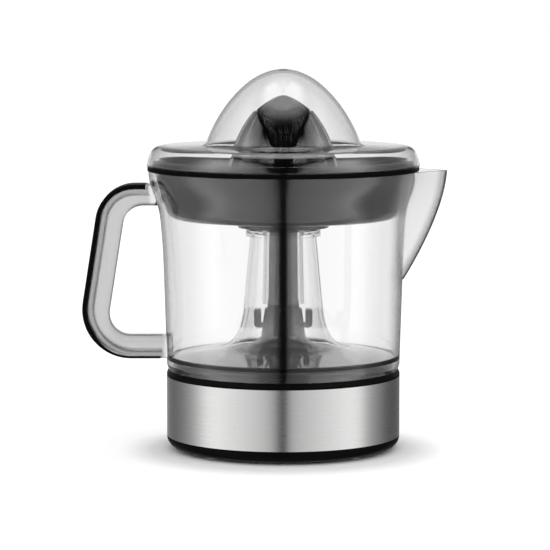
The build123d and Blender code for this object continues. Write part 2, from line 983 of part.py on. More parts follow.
def fluted_section(height, radius, depth, count, turn):
    step = 360.0 / count
    edges = []
    for index in range(count):
        angle = turn + step * index
        ridge = polar(radius, angle)
        valley = polar(radius - depth, angle + step / 2)
        edges.append(ThreePointArc(ridge, valley, polar(radius, angle + step)))
    return Pos(0, 0, cone_bottom + height) * make_face(edges)


def make_large_cone():
    shares = (0.0, 0.3, 0.6, 0.84, 1.0)
    sections = [
        fluted_section(
            share * wing_height, ogive(share * wing_height), large_flute_depth, large_flutes, 0.0
        )
        for share in shares
    ]
    heights = [share * wing_height for share in shares]
    inner = [large_cone_inner(height) for height in heights]
    bore = spin(
        Spline(*[at(radius, cone_bottom + height) for radius, height in zip(inner, heights)]),
        Polyline(
            at(inner[-1], cone_bottom + wing_height),
            at(0, cone_bottom + wing_height),
            at(0, cone_bottom),
            at(inner[0], cone_bottom),
        ),
    )
    cone = loft(sections) - bore
    cone += drive_ribs()
    return cone - notch()


def large_cone_inner(height):
    shell = ogive(height) - large_flute_depth - cone_wall
    edge = ogive(wing_height) - large_flute_depth - wing_edge
    return max(shell, edge, small_cone_radius_at(height) + free_gap)


def drive_ribs():
    # Ribs reach between the small cone's ribs, on its flats, and carry the large cone round
    low = small_cone_bottom - cone_bottom + free_gap
    high = rib_height
    heights = [low + (high - low) * share for share in (0.0, 0.5, 1.0)]
    seat = [small_cone_radius_at(height) - flat_depth_at(height) + free_gap for height in heights]
    wall = [ogive(height) - large_flute_depth - cone_wall / 2 for height in heights]
    band = spin(
        Spline(*[at(radius, cone_bottom + height) for radius, height in zip(seat, heights)]),
        Line(at(seat[-1], cone_bottom + high), at(wall[-1], cone_bottom + high)),
        Spline(*[at(radius, cone_bottom + height) for radius, height in zip(wall, heights)]),
        Line(at(wall[0], cone_bottom + low), at(seat[0], cone_bottom + low)),
    )
    half = rib_thickness / 2
    return band & box_between(-cone_radius, cone_radius, -half, half, cone_bottom, cone_bottom + high)


def notch():
    low = cone_bottom + notch_bottom
    high = cone_bottom + cone_height
    spread = (high - low) * notch_slope
    corners = FilletPolyline(
        at(0, low), at(spread, high), at(-spread, high), radius=[notch_round, 0, 0], close=True
    )
    return extrude(make_face(corners.edges()), cone_radius + cut_over, both=True)


def small_cone_loft(heights):
    sections = []
    for height in heights:
        radius = min(small_cone_radius_at(height), ogive(height) - fit_gap)
        turn = 180.0 / small_cone_sides
        sections.append(fluted_section(height, radius, flat_depth_at(height), small_cone_sides, turn))
    return loft(sections)


def flat_ribs():
    # Thin upright ribs on the small cone's flats
    low = small_cone_bottom - cone_bottom
    high = flat_top - flat_runout
    heights = [low + (high - low) * share for share in (0.0, 0.5, 1.0)]
    edge = [small_cone_radius_at(height) - flat_rib_inset for height in heights]
    limit = spin(
        Spline(*[at(radius, cone_bottom + height) for radius, height in zip(edge, heights)]),
        Polyline(
            at(edge[-1], cone_bottom + high),
            at(0, cone_bottom + high),
            at(0, cone_bottom + low),
            at(edge[0], cone_bottom + low),
        ),
    )
    places = [flat_rib_pitch * (index - (flat_rib_count - 1) / 2) for index in range(flat_rib_count)]
    plate = box_between(
        -cone_radius, cone_radius, -flat_rib_width / 2, flat_rib_width / 2, cone_bottom, cone_bottom + high
    )
    row = joined([Pos(0, place, 0) * plate for place in places])
    return limit & joined(around(row, [0.0, 90.0]))


def make_small_cone():
    low = small_cone_bottom - cone_bottom
    flat_end = flat_top - flat_runout
    cap = cone_height - small_cone_tip - flat_top
    cone = small_cone_loft([low + (flat_end - low) * share for share in (0.0, 0.5, 1.0)])
    cone += small_cone_loft([flat_end + flat_runout * share for share in (0.0, 0.25, 0.5, 0.75, 1.0)])
    cone += small_cone_loft([flat_top + cap * share for share in (0.0, 0.3, 0.5, 0.75, 1.0)])
    cone += flat_ribs()
    hollow_top = small_cone_bottom + stem_in_cone
    mouth = small_cone_radius - flat_depth - small_cone_wall
    hollow = spin_points(
        (stem_radius + small_cone_wall, small_cone_bottom),
        (mouth, small_cone_bottom),
        (mouth - small_cone_wall, hollow_top),
        (stem_radius + small_cone_wall, hollow_top),
    )
    socket = rod(stem_radius + running_gap, small_cone_bottom, hollow_top)
    return cone - hollow - socket


def make_hub_bush():
    body = rod(bush_radius, bush_flange_bottom - bush_length, bush_flange_bottom)
    flange = rod(bush_flange_radius, bush_flange_bottom, bush_flange_bottom + bush_flange)
    bore = rod(bush_bore, bush_flange_bottom - bush_length, bush_flange_bottom + bush_flange)
    return body + flange - bore


def stem_clip_top():
    return bush_flange_bottom - bush_length - fit_gap


def make_drive_stem():
    journal = stem_clip_top() - clip_thickness
    foot_top = stem_bottom + stem_foot_height
    stem = spin_points(
        (0, stem_bottom),
        (stem_foot_radius, stem_bottom),
        (stem_foot_radius, foot_top),
        (stem_radius + stem_swell, foot_top + stem_foot_height),
        (stem_radius, journal),
        (stem_radius, small_cone_bottom + stem_in_cone),
        (0, small_cone_bottom + stem_in_cone),
    )
    groove_low = stem_clip_top() - clip_thickness - fit_gap
    groove_high = stem_clip_top() + fit_gap
    groove = tube(stem_radius + stem_swell, stem_radius - clip_groove, groove_low, groove_high)
    socket = hexagon(hex_across + 2 * hex_gap, stem_bottom, spindle_top)
    return stem - groove - socket


def hexagon(across, low, high):
    return Pos(0, 0, low) * extrude(RegularPolygon(across / 2, 6, major_radius=False), high - low)


def make_stem_clip():
    low = stem_clip_top() - clip_thickness
    return tube(stem_radius + clip_lip, stem_radius - clip_groove + running_gap, low, stem_clip_top())


# Drive spindle and start switch


def make_drive_spindle():
    shaft = rod(spindle_radius, spindle_bottom, stem_bottom + free_gap)
    head = hexagon(hex_across, stem_bottom + free_gap, spindle_top)
    flat_low = first_gear_bottom - press_travel
    flat_high = output_hub_top + press_travel
    waist = box_between(
        -flat_across / 2, flat_across / 2, -spindle_radius, spindle_radius, flat_low, flat_high
    )
    flats = rod(spindle_radius + cut_over, flat_low, flat_high) - waist
    groove_high = spindle_clip_top() + fit_gap
    groove_low = groove_high - clip_thickness - 2 * fit_gap
    groove = tube(spindle_radius + cut_over, spindle_radius - clip_groove, groove_low, groove_high)
    return shaft + head - flats - groove


def spindle_clip_top():
    return plate_top - lower_bush_length - fit_gap


def make_spindle_clip():
    low = spindle_clip_top() - clip_thickness
    inner = spindle_radius - clip_groove + running_gap
    return tube(spindle_radius + clip_lip, inner, low, spindle_clip_top())


def make_spindle_bush_lower():
    outer = spindle_radius + running_gap + spindle_bush_wall
    body = rod(outer, plate_top - lower_bush_length, plate_top)
    flange = rod(output_hub_radius, plate_top, plate_top + lower_bush_flange - running_gap)
    bore = rod(spindle_radius + running_gap, plate_top - lower_bush_length, first_gear_bottom)
    return body + flange - bore


def make_spindle_bush_upper():
    high = tower_recess_floor - seal_height - fit_gap
    return tube(seal_radius, spindle_radius + running_gap, upper_bush_bottom(), high)


def make_spindle_seal():
    low = tower_recess_floor - seal_height
    return tube(seal_radius, spindle_radius + running_gap, low, tower_recess_floor)


def make_press_cup():
    cup = rod(cup_radius, cup_bottom, cup_top)
    tongue = box_between(
        0,
        tongue_reach,
        -tongue_width / 2,
        tongue_width / 2,
        tongue_bottom,
        tongue_bottom + tongue_thickness,
    )
    return cup + tongue - rod(spindle_radius + running_gap, spindle_bottom, cup_top)


def make_return_spring():
    # The wire starts and ends half a wire inside the seats, so the coil stands clear of both
    low = spring_bottom + spring_wire / 2 + fit_gap
    high = cup_bottom - spring_wire / 2 - fit_gap
    path = Helix((high - low) / spring_turns, high - low, spring_radius)
    section = Plane(path @ 0, z_dir=path % 0) * Circle(spring_wire / 2)
    return Pos(0, 0, low) * sweep(section, path)


def make_microswitch():
    half = switch_length / 2
    body = box_between(
        switch_place - half,
        switch_place + half,
        -switch_width / 2,
        switch_width / 2,
        cover_floor_top,
        cover_floor_top + switch_height,
    )
    body = fillet(body.edges().filter_by(Axis.Z), switch_round)
    well_low = tongue_bottom - plunger_length() - press_travel - fit_gap
    return body - Pos(switch_place, 0, 0) * rod(
        plunger_radius + running_gap, well_low, cover_floor_top + switch_height
    )


def plunger_length():
    return tongue_bottom - cover_floor_top - switch_height + plunger_bury


def make_switch_plunger():
    return Pos(switch_place, 0, 0) * rod(plunger_radius, tongue_bottom - plunger_length(), tongue_bottom)


# Motor


def leg_place():
    return (core_slot + core_leg) / 2


def coil_span():
    # From the yoke to the pole block, along the legs
    low = -core_tail + core_yoke
    return low, -(rotor_radius + air_gap + pole_wall)


def core_screw_places():
    tail = -core_tail + core_yoke / 2
    head = core_head - core_screw_edge
    side = core_half_width - core_screw_edge
    return [(leg_place(), tail), (-leg_place(), tail), (side, head), (-side, head)]


def make_stator_core():
    low, high = coil_span()
    core = box_between(-core_half_width, core_half_width, -core_tail, core_head, stack_bottom, stack_top)
    core -= box_between(-core_slot / 2, core_slot / 2, low, 0, stack_bottom, stack_top)
    outside = leg_place() + core_leg / 2
    cut = box_between(outside, core_half_width + cut_over, low, high, stack_bottom, stack_top)
    core -= [cut, mirror(cut, Plane.YZ)]
    core -= rod(rotor_radius + air_gap, stack_bottom, stack_top)
    hole = rod(screw_radius + fit_gap, stack_bottom, stack_top)
    core -= [Pos(x, y, 0) * hole for x, y in core_screw_places()]
    return rotor_axis * core


def make_stator_screws():
    reach = plate_top - stack_bottom
    one = screw(stack_bottom, reach)
    return [rotor_axis * Pos(x, y, 0) * one for x, y in core_screw_places()]


def make_stator_spacers():
    one = tube(2 * screw_radius, screw_radius + fit_gap, stack_top, plate_bottom)
    return [rotor_axis * Pos(x, y, 0) * one for x, y in core_screw_places()]


def frame_round_leg(margin, thickness, y_low, y_high):
    # A square tube round one leg of the core
    half_x = core_leg / 2 + margin
    low = stack_bottom - margin
    high = stack_top + margin
    outer = box_between(
        -half_x - thickness, half_x + thickness, y_low, y_high, low - thickness, high + thickness
    )
    return outer - box_between(-half_x, half_x, y_low, y_high, low, high)


def make_coil_bobbins():
    low, high = coil_span()
    low += fit_gap
    high -= fit_gap
    flange = coil_build - fit_gap
    one = frame_round_leg(fit_gap, bobbin_wall, low, high)
    one += frame_round_leg(fit_gap, flange, low, low + bobbin_flange)
    one += frame_round_leg(fit_gap, flange, high - bobbin_flange, high)
    return [rotor_axis * Pos(side * leg_place(), 0, 0) * one for side in (-1, 1)]


def make_coil_windings():
    low, high = coil_span()
    low += fit_gap + bobbin_flange
    high -= fit_gap + bobbin_flange
    margin = 2 * fit_gap + bobbin_wall
    one = frame_round_leg(margin, coil_build - margin - bobbin_wall, low + fit_gap, high - fit_gap)
    return [rotor_axis * Pos(side * leg_place(), 0, 0) * one for side in (-1, 1)]


def make_rotor_magnet():
    return rotor_axis * tube(
        rotor_radius, shaft_radius + running_gap, stack_bottom - rotor_overhang, stack_top + rotor_overhang
    )


def make_rotor_shaft():
    return rotor_axis * rod(shaft_radius, cover_floor_top + fit_gap, first_gear_top)


def rotor_bush(low):
    return rotor_axis * tube(rotor_bush_radius, shaft_radius + running_gap, low, low + rotor_bush_length)


def make_rotor_bush_lower():
    return rotor_bush(cover_floor_top)


def make_rotor_bush_upper():
    return rotor_bush(plate_top - rotor_bush_length + gear_gap / 2)


# Gear train


def involute(angle):
    return math.tan(angle) - angle


def gear_face(teeth):
    pitch = module * teeth / 2
    base = pitch * math.cos(math.radians(pressure_angle))
    root = pitch - dedendum * module
    tip = pitch + addendum * module
    half_pitch = (math.pi * module / 2 - backlash) / (2 * pitch) + involute(math.radians(pressure_angle))

    def half_angle(radius):
        return half_pitch - involute(math.acos(min(1.0, base / radius)))

    flank = [(root, half_angle(root)), (pitch, half_angle(pitch)), (tip, half_angle(tip))]
    points = []
    for index in range(teeth):
        middle = 2 * math.pi * index / teeth
        left = [(radius, middle - angle) for radius, angle in flank]
        right = [(radius, middle + angle) for radius, angle in reversed(flank)]
        points += [(radius * math.cos(angle), radius * math.sin(angle)) for radius, angle in left + right]
    return make_face(Polyline(*points, close=True).edges())


def gear(teeth, low, high, toward, gap_first=False):
    # One tooth, or one gap, points along the given direction
    turn = toward + (180.0 / teeth if gap_first else 0.0)
    return Rot(0, 0, turn) * Pos(0, 0, low) * extrude(gear_face(teeth), high - low)


def make_motor_pinion():
    wheel = gear(motor_teeth, first_gear_bottom, first_gear_top, idler_from_rotor)
    return rotor_axis * (wheel - rod(shaft_radius + running_gap, first_gear_bottom, first_gear_top))


def make_idler_gear():
    wheel = gear(idler_teeth, first_gear_bottom, first_gear_top, idler_from_rotor + 180, gap_first=True)
    pinion = gear(idler_pinion_teeth, first_gear_top, second_gear_top + gear_gap / 2, idler_angle + 180)
    return idler_axis * (wheel + pinion - rod(axle_radius + running_gap, first_gear_bottom, output_hub_top))


def make_idler_axle():
    collar = rod(2 * axle_radius, plate_top, first_gear_bottom - fit_gap)
    return idler_axis * (rod(axle_radius, plate_bottom, axle_top()) + collar)


def make_output_gear():
    wheel = gear(output_teeth, second_gear_bottom, second_gear_top, idler_angle, gap_first=True)
    hub = rod(output_hub_radius, first_gear_bottom, output_hub_top)
    waist = box_between(
        -flat_across / 2 - running_gap,
        flat_across / 2 + running_gap,
        -spindle_radius - cut_over,
        spindle_radius + cut_over,
        first_gear_bottom,
        output_hub_top,
    )
    return wheel + hub - (rod(spindle_radius + running_gap, first_gear_bottom, output_hub_top) & waist)


def make_gear_plate():
    plate = rod(plate_radius, plate_bottom, plate_top)
    window = SlotArc(CenterArc((0, 0), window_circle, window_start, window_sweep), window_width)
    plate -= Pos(0, 0, plate_bottom) * extrude(window, plate_thickness)
    plate -= rod(spindle_radius + running_gap + spindle_bush_wall + fit_gap, plate_bottom, plate_top)
    plate -= rotor_axis * rod(rotor_bush_radius + fit_gap, plate_bottom, plate_top)
    plate -= idler_axis * rod(axle_radius + running_gap, plate_bottom, plate_top)
    hole = rod(screw_radius + fit_gap, plate_bottom, plate_top)
    plate -= [Pos(*polar(post_circle, angle)) * hole for angle in post_angles]
    return plate - [rotor_axis * Pos(x, y, 0) * hole for x, y in core_screw_places()]


def make_plate_screws():
    one = screw(plate_bottom, plate_thickness + screw_reach)
    return [Pos(*polar(post_circle, angle)) * one for angle in post_angles]


pieces = {
    "steel_sleeve": make_steel_sleeve,
    "motor_housing": make_motor_housing,
    "bottom_cover": make_bottom_cover,
    "foot_ring": make_foot_ring,
    "cover_screws": make_cover_screws,
    "deck_screws": make_deck_screws,
    "cord_gland": make_cord_gland,
    "top_deck": make_top_deck,
    "jug": make_jug,
    "handle_grip": make_handle_grip,
    "strainer": make_strainer,
    "rim_gasket": make_rim_gasket,
    "dust_cover": make_dust_cover,
    "large_cone": make_large_cone,
    "small_cone": make_small_cone,
    "hub_bush": make_hub_bush,
    "drive_stem": make_drive_stem,
    "stem_clip": make_stem_clip,
    "drive_spindle": make_drive_spindle,
    "spindle_clip": make_spindle_clip,
    "spindle_bush_lower": make_spindle_bush_lower,
    "spindle_bush_upper": make_spindle_bush_upper,
    "spindle_seal": make_spindle_seal,
    "press_cup": make_press_cup,
    "return_spring": make_return_spring,
    "microswitch": make_microswitch,
    "switch_plunger": make_switch_plunger,
    "stator_core": make_stator_core,
    "stator_screws": make_stator_screws,
    "stator_spacers": make_stator_spacers,
    "coil_bobbins": make_coil_bobbins,
    "coil_windings": make_coil_windings,
    "rotor_magnet": make_rotor_magnet,
    "rotor_shaft": make_rotor_shaft,
    "rotor_bush_lower": make_rotor_bush_lower,
    "rotor_bush_upper": make_rotor_bush_upper,
    "motor_pinion": make_motor_pinion,
    "idler_gear": make_idler_gear,
    "idler_axle": make_idler_axle,
    "output_gear": make_output_gear,
    "gear_plate": make_gear_plate,
    "plate_screws": make_plate_screws,
}

os.makedirs("parts", exist_ok=True)
for name, make in pieces.items():
    shape = make()
    if isinstance(shape, list):
        shape = Compound(children=shape)
    export_step(shape, f"parts/{name}.step")
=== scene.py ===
# %% [markdown]
# # A citrus press in a white studio
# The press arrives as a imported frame: every solid stands where the maker's drawing puts it, in metres, with
# its drive axis on Z, its spout at +X and its handle at -X. This lesson dresses that frame. Pieces whose
# finish depends on soft edges are made again as smooth surfaces, and all the others keep their own solids
# and get a material worked out from nodes.

# %% Load the frame
import json
import math

import bmesh
import bpy
import numpy as np
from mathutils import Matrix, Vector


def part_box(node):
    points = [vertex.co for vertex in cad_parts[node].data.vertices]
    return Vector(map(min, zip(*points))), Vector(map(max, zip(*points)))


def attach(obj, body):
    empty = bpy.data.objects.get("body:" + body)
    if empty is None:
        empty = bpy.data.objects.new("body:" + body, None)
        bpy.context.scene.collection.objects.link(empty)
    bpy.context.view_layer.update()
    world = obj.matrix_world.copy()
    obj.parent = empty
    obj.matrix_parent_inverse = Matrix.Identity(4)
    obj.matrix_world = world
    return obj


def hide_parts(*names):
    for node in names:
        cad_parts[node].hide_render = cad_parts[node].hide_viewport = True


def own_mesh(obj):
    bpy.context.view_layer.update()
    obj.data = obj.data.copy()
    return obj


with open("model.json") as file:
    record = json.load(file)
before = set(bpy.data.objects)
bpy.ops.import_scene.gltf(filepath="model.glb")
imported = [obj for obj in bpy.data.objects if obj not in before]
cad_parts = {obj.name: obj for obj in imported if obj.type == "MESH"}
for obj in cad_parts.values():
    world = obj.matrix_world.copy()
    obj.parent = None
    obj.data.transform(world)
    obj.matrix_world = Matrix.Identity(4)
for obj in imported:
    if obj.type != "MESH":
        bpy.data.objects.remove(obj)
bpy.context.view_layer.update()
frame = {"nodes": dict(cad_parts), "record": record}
MM = 0.001

# %% [markdown]
# The photographer stood well back with a long lens, a little above the rim of the jug and straight in front
# of it. A long lens keeps the upright sides of the jug nearly parallel, so the camera gets the same: 187.5 mm
# from almost 1.8 metres, tipped down by about six degrees.

# %% Camera
camera_data = bpy.data.cameras.new("front_camera")
camera_data.sensor_width = 36.0
camera_data.lens = 187.5
camera_data.clip_end = 20.0
camera_tip = 84.06
camera = bpy.data.objects.new("front_camera", camera_data)
camera.location = (-0.0051, -1.7585, 0.2902)
camera.rotation_euler = (math.radians(camera_tip), 0.0, 0.0)
bpy.context.scene.collection.objects.link(camera)
bpy.context.scene.camera = camera
bpy.context.scene.view_settings.view_transform = "Standard"
print("camera", [round(x, 3) for x in camera.location])

# %% [markdown]
# Every new surface here is a grid of points, worked out as whole arrays. One helper turns such a grid into a
# mesh: each cell of the grid is a quad, and a direction that closes on itself shares its first and last row.
# A second one closes poles and seams, and a third carries a profile round the axis, as a lathe does.

# %% Grid helpers
same_place = 1e-7


def surface(name, points, wrap_rows=False, wrap_columns=True):
    """A mesh from points[row, column]: each cell between four neighbours is one quad."""
    rows, columns = points.shape[:2]
    index = np.arange(rows * columns).reshape(rows, columns)
    if wrap_rows:
        index = np.concatenate([index, index[:1]], axis=0)
    if wrap_columns:
        index = np.concatenate([index, index[:, :1]], axis=1)
    corners = (index[:-1, :-1], index[:-1, 1:], index[1:, 1:], index[1:, :-1])
    quads = np.stack(corners, axis=-1).reshape(-1, 4)
    mesh = bpy.data.meshes.new(name)
    mesh.from_pydata(points.reshape(-1, 3), [], quads)
    mesh.update()
    mesh.shade_smooth()
    made = bpy.data.objects.new(name, mesh)
    bpy.context.scene.collection.objects.link(made)
    print(name, "points", rows * columns, "faces", len(quads))
    return made


def closed(piece):
    """Merges points that lie on each other, at poles and seams, and turns all faces outwards."""
    work = bmesh.new()
    work.from_mesh(piece.data)
    bmesh.ops.remove_doubles(work, verts=work.verts, dist=same_place)
    bmesh.ops.recalc_face_normals(work, faces=work.faces)
    work.to_mesh(piece.data)
    work.free()


def turned(profile, count):
    """Points of a profile (radius, height) carried round Z: x = r cos t, y = r sin t, z = height."""
    turn = np.linspace(0.0, 2.0 * np.pi, count, endpoint=False)
    radius = profile[:, :1]
    height = np.repeat(profile[:, 1:], count, axis=1)
    return np.stack([radius * np.cos(turn), radius * np.sin(turn), height], axis=-1)


# %% [markdown]
# The studio is a white sweep. The world is an even white all round, at a strength of one, so a colour renders
# about as it is written. A backdrop could curve up behind the press, but a large flat floor under a white
# world looks the same and keeps the light even.

# %% World and floor
world = bpy.data.worlds.new("white_studio")
bpy.context.scene.world = world
world.use_nodes = True
sky = world.node_tree.nodes["Background"]
sky.inputs["Color"].default_value = (1.0, 1.0, 1.0, 1.0)
sky.inputs["Strength"].default_value = 1.0

floor_half = 6.0
corner = np.array([-floor_half, floor_half])
floor_x, floor_y = np.meshgrid(corner, corner)
floor_points = np.stack([floor_x, floor_y, np.zeros_like(floor_x)], axis=-1)
floor = surface("floor", floor_points, wrap_columns=False)

# %% [markdown]
# A material is a network in which each node's output feeds the next one's socket. A few kinds of node come
# back in nearly every network below: arithmetic, a range mapped onto another one, and a mix of two values.
# Each gets a helper, whose inputs are plain numbers or other nodes' outputs.

# %% Node helpers


def new_material(name):
    """A node material and its Principled shader."""
    material = bpy.data.materials.new(name)
    material.use_nodes = True
    return material, material.node_tree.nodes["Principled BSDF"]


def add_node(tree, kind, inputs):
    """A node of this kind. Each input is linked to another node's output or set to a plain value."""
    node = tree.nodes.new("ShaderNode" + kind)
    for socket, given in inputs.items():
        if isinstance(given, bpy.types.NodeSocket):
            tree.links.new(given, node.inputs[socket])
        else:
            node.inputs[socket].default_value = given
    return node


def math_node(tree, operation, *inputs):
    """The result of one operation on its inputs, in their order."""
    node = add_node(tree, "Math", dict(enumerate(inputs)))
    node.operation = operation
    return node.outputs["Value"]


def map_range(tree, value, start, end, first, last):
    """first where value is at start or before it, last at end or beyond it, a straight run between them."""
    span = {"Value": value, "From Min": start, "From Max": end, "To Min": first, "To Max": last}
    return add_node(tree, "MapRange", span).outputs["Result"]


def mixed(tree, share, first, second):
    """first where share is 0, second where it is 1 or more, and a blend between them."""
    return add_node(tree, "Mix", {"Factor": share, "A": first, "B": second}).outputs["Result"]


# %% [markdown]
# The floor takes the soft shadow under the base. A sheet lit only by the sky would look grey, so it glows a
# little where the camera sees it, which makes it white. Close to the base the glow fades out in a ring centred
# a little in front of the axis, a painted shade that darkens the rendered shadow there. Seen through the jug it
# glows less, and mirrors do not see it at all: to them it is open, and they show the tent of the next step.

# %% Floor paint
floor_paint, shader = new_material("white_sweep")
shader.inputs["Base Color"].default_value = (0.95, 0.95, 0.95, 1.0)
shader.inputs["Roughness"].default_value = 0.9
shader.inputs["Specular IOR Level"].default_value = 0.0
shader.inputs["Emission Color"].default_value = (1.0, 1.0, 1.0, 1.0)
camera_lift, through_lift = 0.25, 0.05
shadow_shift = (0.0, 0.008, 0.0)
shadow_reach, white_reach = 0.080, 0.100

tree = floor_paint.node_tree
rays = add_node(tree, "LightPath", {}).outputs
place = add_node(tree, "TexCoord", {}).outputs["Object"]
shifted = add_node(tree, "VectorMath", {0: place, 1: shadow_shift}).outputs["Vector"]
reach = add_node(tree, "VectorMath", {0: shifted})
reach.operation = "LENGTH"
# painted shade: within this ring round the base the camera's glow is taken away, so the floor is darker there
# than its light makes it
away = map_range(tree, reach.outputs["Value"], shadow_reach, white_reach, 0.0, camera_lift)
seen = math_node(tree, "MULTIPLY", rays["Is Camera Ray"], away)
lift = math_node(tree, "MULTIPLY_ADD", rays["Is Transmission Ray"], through_lift, seen)
tree.links.new(lift, shader.inputs["Emission Strength"])
opened = add_node(tree, "BsdfTransparent", {}).outputs["BSDF"]
choice = add_node(tree, "MixShader", {"Fac": rays["Glossy Depth"], 1: shader.outputs["BSDF"], 2: opened})
tree.links.new(choice.outputs["Shader"], tree.nodes["Material Output"].inputs["Surface"])
floor.data.materials.append(floor_paint)
print("floor glows", camera_lift, "to the camera and", through_lift, "through clear plastic")

# %% [markdown]
# Steel and polished plastic look like what they mirror, and a plain white room would leave them flat. So a
# tent stands round the press, a whole sphere that only mirrored and bent rays can see. Lamps and cards could
# be set up one by one, but a brightness for each angle is easier to steer. Low down, the wall is bright to
# the left and right of the camera, with a narrow dark gap where the camera looks in, and dark behind each
# side, which draws the dark edges of the steel. Higher up are two panels, a lamp overhead and a dark back.

# %% Tent brightness


def ramp(value, low, high):
    """0 below low, 1 above high and a straight rise between them."""
    return np.clip((value - low) / (high - low), 0.0, 1.0)


def curve(value, *marks):
    """The line through marks (place, height), read at value. Beyond its ends it stays level."""
    places, heights = np.transpose(marks)
    return np.interp(value, places, heights)


def blended(first, second, share):
    """first where share is 0, second where it is 1."""
    return (1.0 - share) * first + share * second


dark_cloth = 0.03
tent_rise, tent_turn = np.meshgrid(
    np.linspace(-88.0, 88.0, 177), np.linspace(-180.0, 180.0, 480, endpoint=False), indexing="ij"
)
aside = np.abs(tent_turn)
wall_left = [(-180, 0.4), (-165, 0.3), (-150, 0.18), (-137, 0.165), (-127, 0.21), (-118, 0.27), (-111, 0.36)]
wall_left += [(-104, 0.47), (-98, 0.6), (-92, 0.8), (-86, 1.05), (-81, 1.27), (-76, 1.28), (-66, 1.16)]
wall_left += [(-57, 1.0), (-44, 0.93), (-30, 0.84), (-22, 0.78)]
wall_gap = [(-14, 0.65), (-9, 0.5), (-5, 0.28), (-2, 0.05), (2, 0.05), (4, 0.4), (7, 0.6), (14, 0.7)]
wall_right = [(26, 0.8), (39, 0.88), (57, 1.0), (66, 1.14), (76, 1.27), (81, 1.2), (86, 0.9), (92, 0.6)]
wall_right += [(98, 0.48), (104, 0.37), (111, 0.28), (118, 0.18), (127, 0.12), (137, 0.11), (150, 0.1)]
wall_right += [(165, 0.2), (180, 0.4)]
low_swing = 1.0 + 0.2 * ramp(-tent_rise, 10.0, 40.0)
wall_glow = curve(tent_turn * low_swing, *wall_left, *wall_gap, *wall_right)

low_panel = curve(aside, (22, 1.0), (30, 1.3), (45, 2.0), (65, 2.8), (86, 0.85), (100, 0.6), (120, 0.4))
high_panel = curve(aside, (35, 0.1), (44, 0.5), (56, 1.0), (80, 1.3), (100, 1.0), (114, 0.8), (130, 0.5))
panel_gap = curve(tent_rise, (10, 5), (34, 19), (50, 45), (62, 90))
panel_glow = low_panel + (high_panel - low_panel) * ramp(tent_rise, 34.0, 48.0)
panel_glow = dark_cloth + panel_glow * ramp(aside - panel_gap, -3.0, 3.0)
lamp_glow = curve(tent_rise, (56, 0.05), (60, 0.3), (72, 2.6), (90, 2.2))
panel_glow += (lamp_glow - panel_glow) * ramp(tent_rise, 52.0, 62.0)

back_glow = curve(tent_rise, (6.2, 0.88), (8.2, 0.25), (40, 0.25), (54, 0.5), (75, 1.2), (88, 2.2))
back_share = ramp(aside, 135.0, 158.0) * ramp(tent_rise, -2.0, 0.0)
tent_glow = blended(wall_glow, panel_glow, ramp(tent_rise, 8.0, 24.0))
tent_glow = blended(tent_glow, back_glow, back_share)
print("tent brightness", round(float(tent_glow.min()), 3), "to", round(float(tent_glow.max()), 3))

# %% [markdown]
# Clear plastic sends rays on in more than one way, and each way needs its own cards, as a photographer would
# hang them. So the tent keeps four layers of brightness. Plain mirrors see "glow". Rays that only pass clear
# walls see "through", with a white sheet low behind the press. Light mirrored inside one wall sees "inside",
# which has no deep black at the back. Mirrors behind two walls or more, such as the stem inside the jug, see
# "deep": a pale sheet behind, and a wider dark gap in front, which is the dark stripe on the stem.

# %% Tent layers
sheet_share = ramp(aside, 115.0, 135.0) * ramp(-tent_rise, -30.0, -18.0)
tent_through = np.minimum(1.0, tent_glow) * (1.0 - sheet_share) + sheet_share
inside_floor = 0.62
tent_inside = np.maximum(tent_glow, inside_floor * ramp(aside, 75.0, 100.0))
deep_sheet = 0.82
deep_share = ramp(aside, 120.0, 140.0) * ramp(-tent_rise, -40.0, -25.0)
deep_gap = curve(tent_rise, (-48, 4), (-34, 5), (-22, 9), (-14, 16), (-8, 26))
deep_front = tent_glow * (dark_cloth + (1.0 - dark_cloth) * ramp(aside - deep_gap, -4.0, 4.0))
tent_deep = blended(deep_front, deep_sheet, deep_share)
tent_layers = {"glow": tent_glow, "through": tent_through, "inside": tent_inside, "deep": tent_deep}

tent_radius, tent_middle = 1.3, 0.09
rise_angle, turn_angle = np.radians(tent_rise), np.radians(tent_turn)
tent_points = tent_radius * np.stack(
    [
        np.cos(rise_angle) * np.sin(turn_angle),
        -np.cos(rise_angle) * np.cos(turn_angle),
        tent_middle + np.sin(rise_angle),
    ],
    axis=-1,
)
tent = surface("reflection_tent", tent_points)
for layer_name, values in tent_layers.items():
    layer = tent.data.attributes.new(layer_name, "FLOAT", "POINT")
    layer.data.foreach_set("value", values.ravel().astype(np.float32))
for ray in ("camera", "diffuse", "volume_scatter", "shadow"):
    setattr(tent, f"visible_{ray}", False)

# %% [markdown]
# The cloth of the tent is a pure glow. Light Path counts how often a ray was mirrored and how many clear
# faces it passed, and these two counts choose the layer.

# %% Tent cloth
tent_cloth = bpy.data.materials.new("tent_cloth")
tent_cloth.use_nodes = True
tree = tent_cloth.node_tree
tree.nodes.clear()
layer_socket = {}
for layer_name in tent_layers:
    node = add_node(tree, "Attribute", {})
    node.attribute_name = layer_name
    layer_socket[layer_name] = node.outputs["Fac"]
rays = add_node(tree, "LightPath", {}).outputs
faces_of_wall = 2.0
one_wall = math_node(tree, "COMPARE", rays["Transmission Depth"], faces_of_wall, 0.5)
more_walls = math_node(tree, "GREATER_THAN", rays["Transmission Depth"], faces_of_wall + 0.5)
plain_or_deep = mixed(tree, more_walls, layer_socket["glow"], layer_socket["deep"])
mirror_glow = mixed(tree, one_wall, plain_or_deep, layer_socket["inside"])
mirrored = mixed(tree, rays["Glossy Depth"], layer_socket["through"], mirror_glow)
emission = add_node(tree, "Emission", {"Strength": mirrored})
add_node(tree, "OutputMaterial", {"Surface": emission.outputs["Emission"]})
tent.data.materials.append(tent_cloth)
print("tent layers", list(tent_layers))

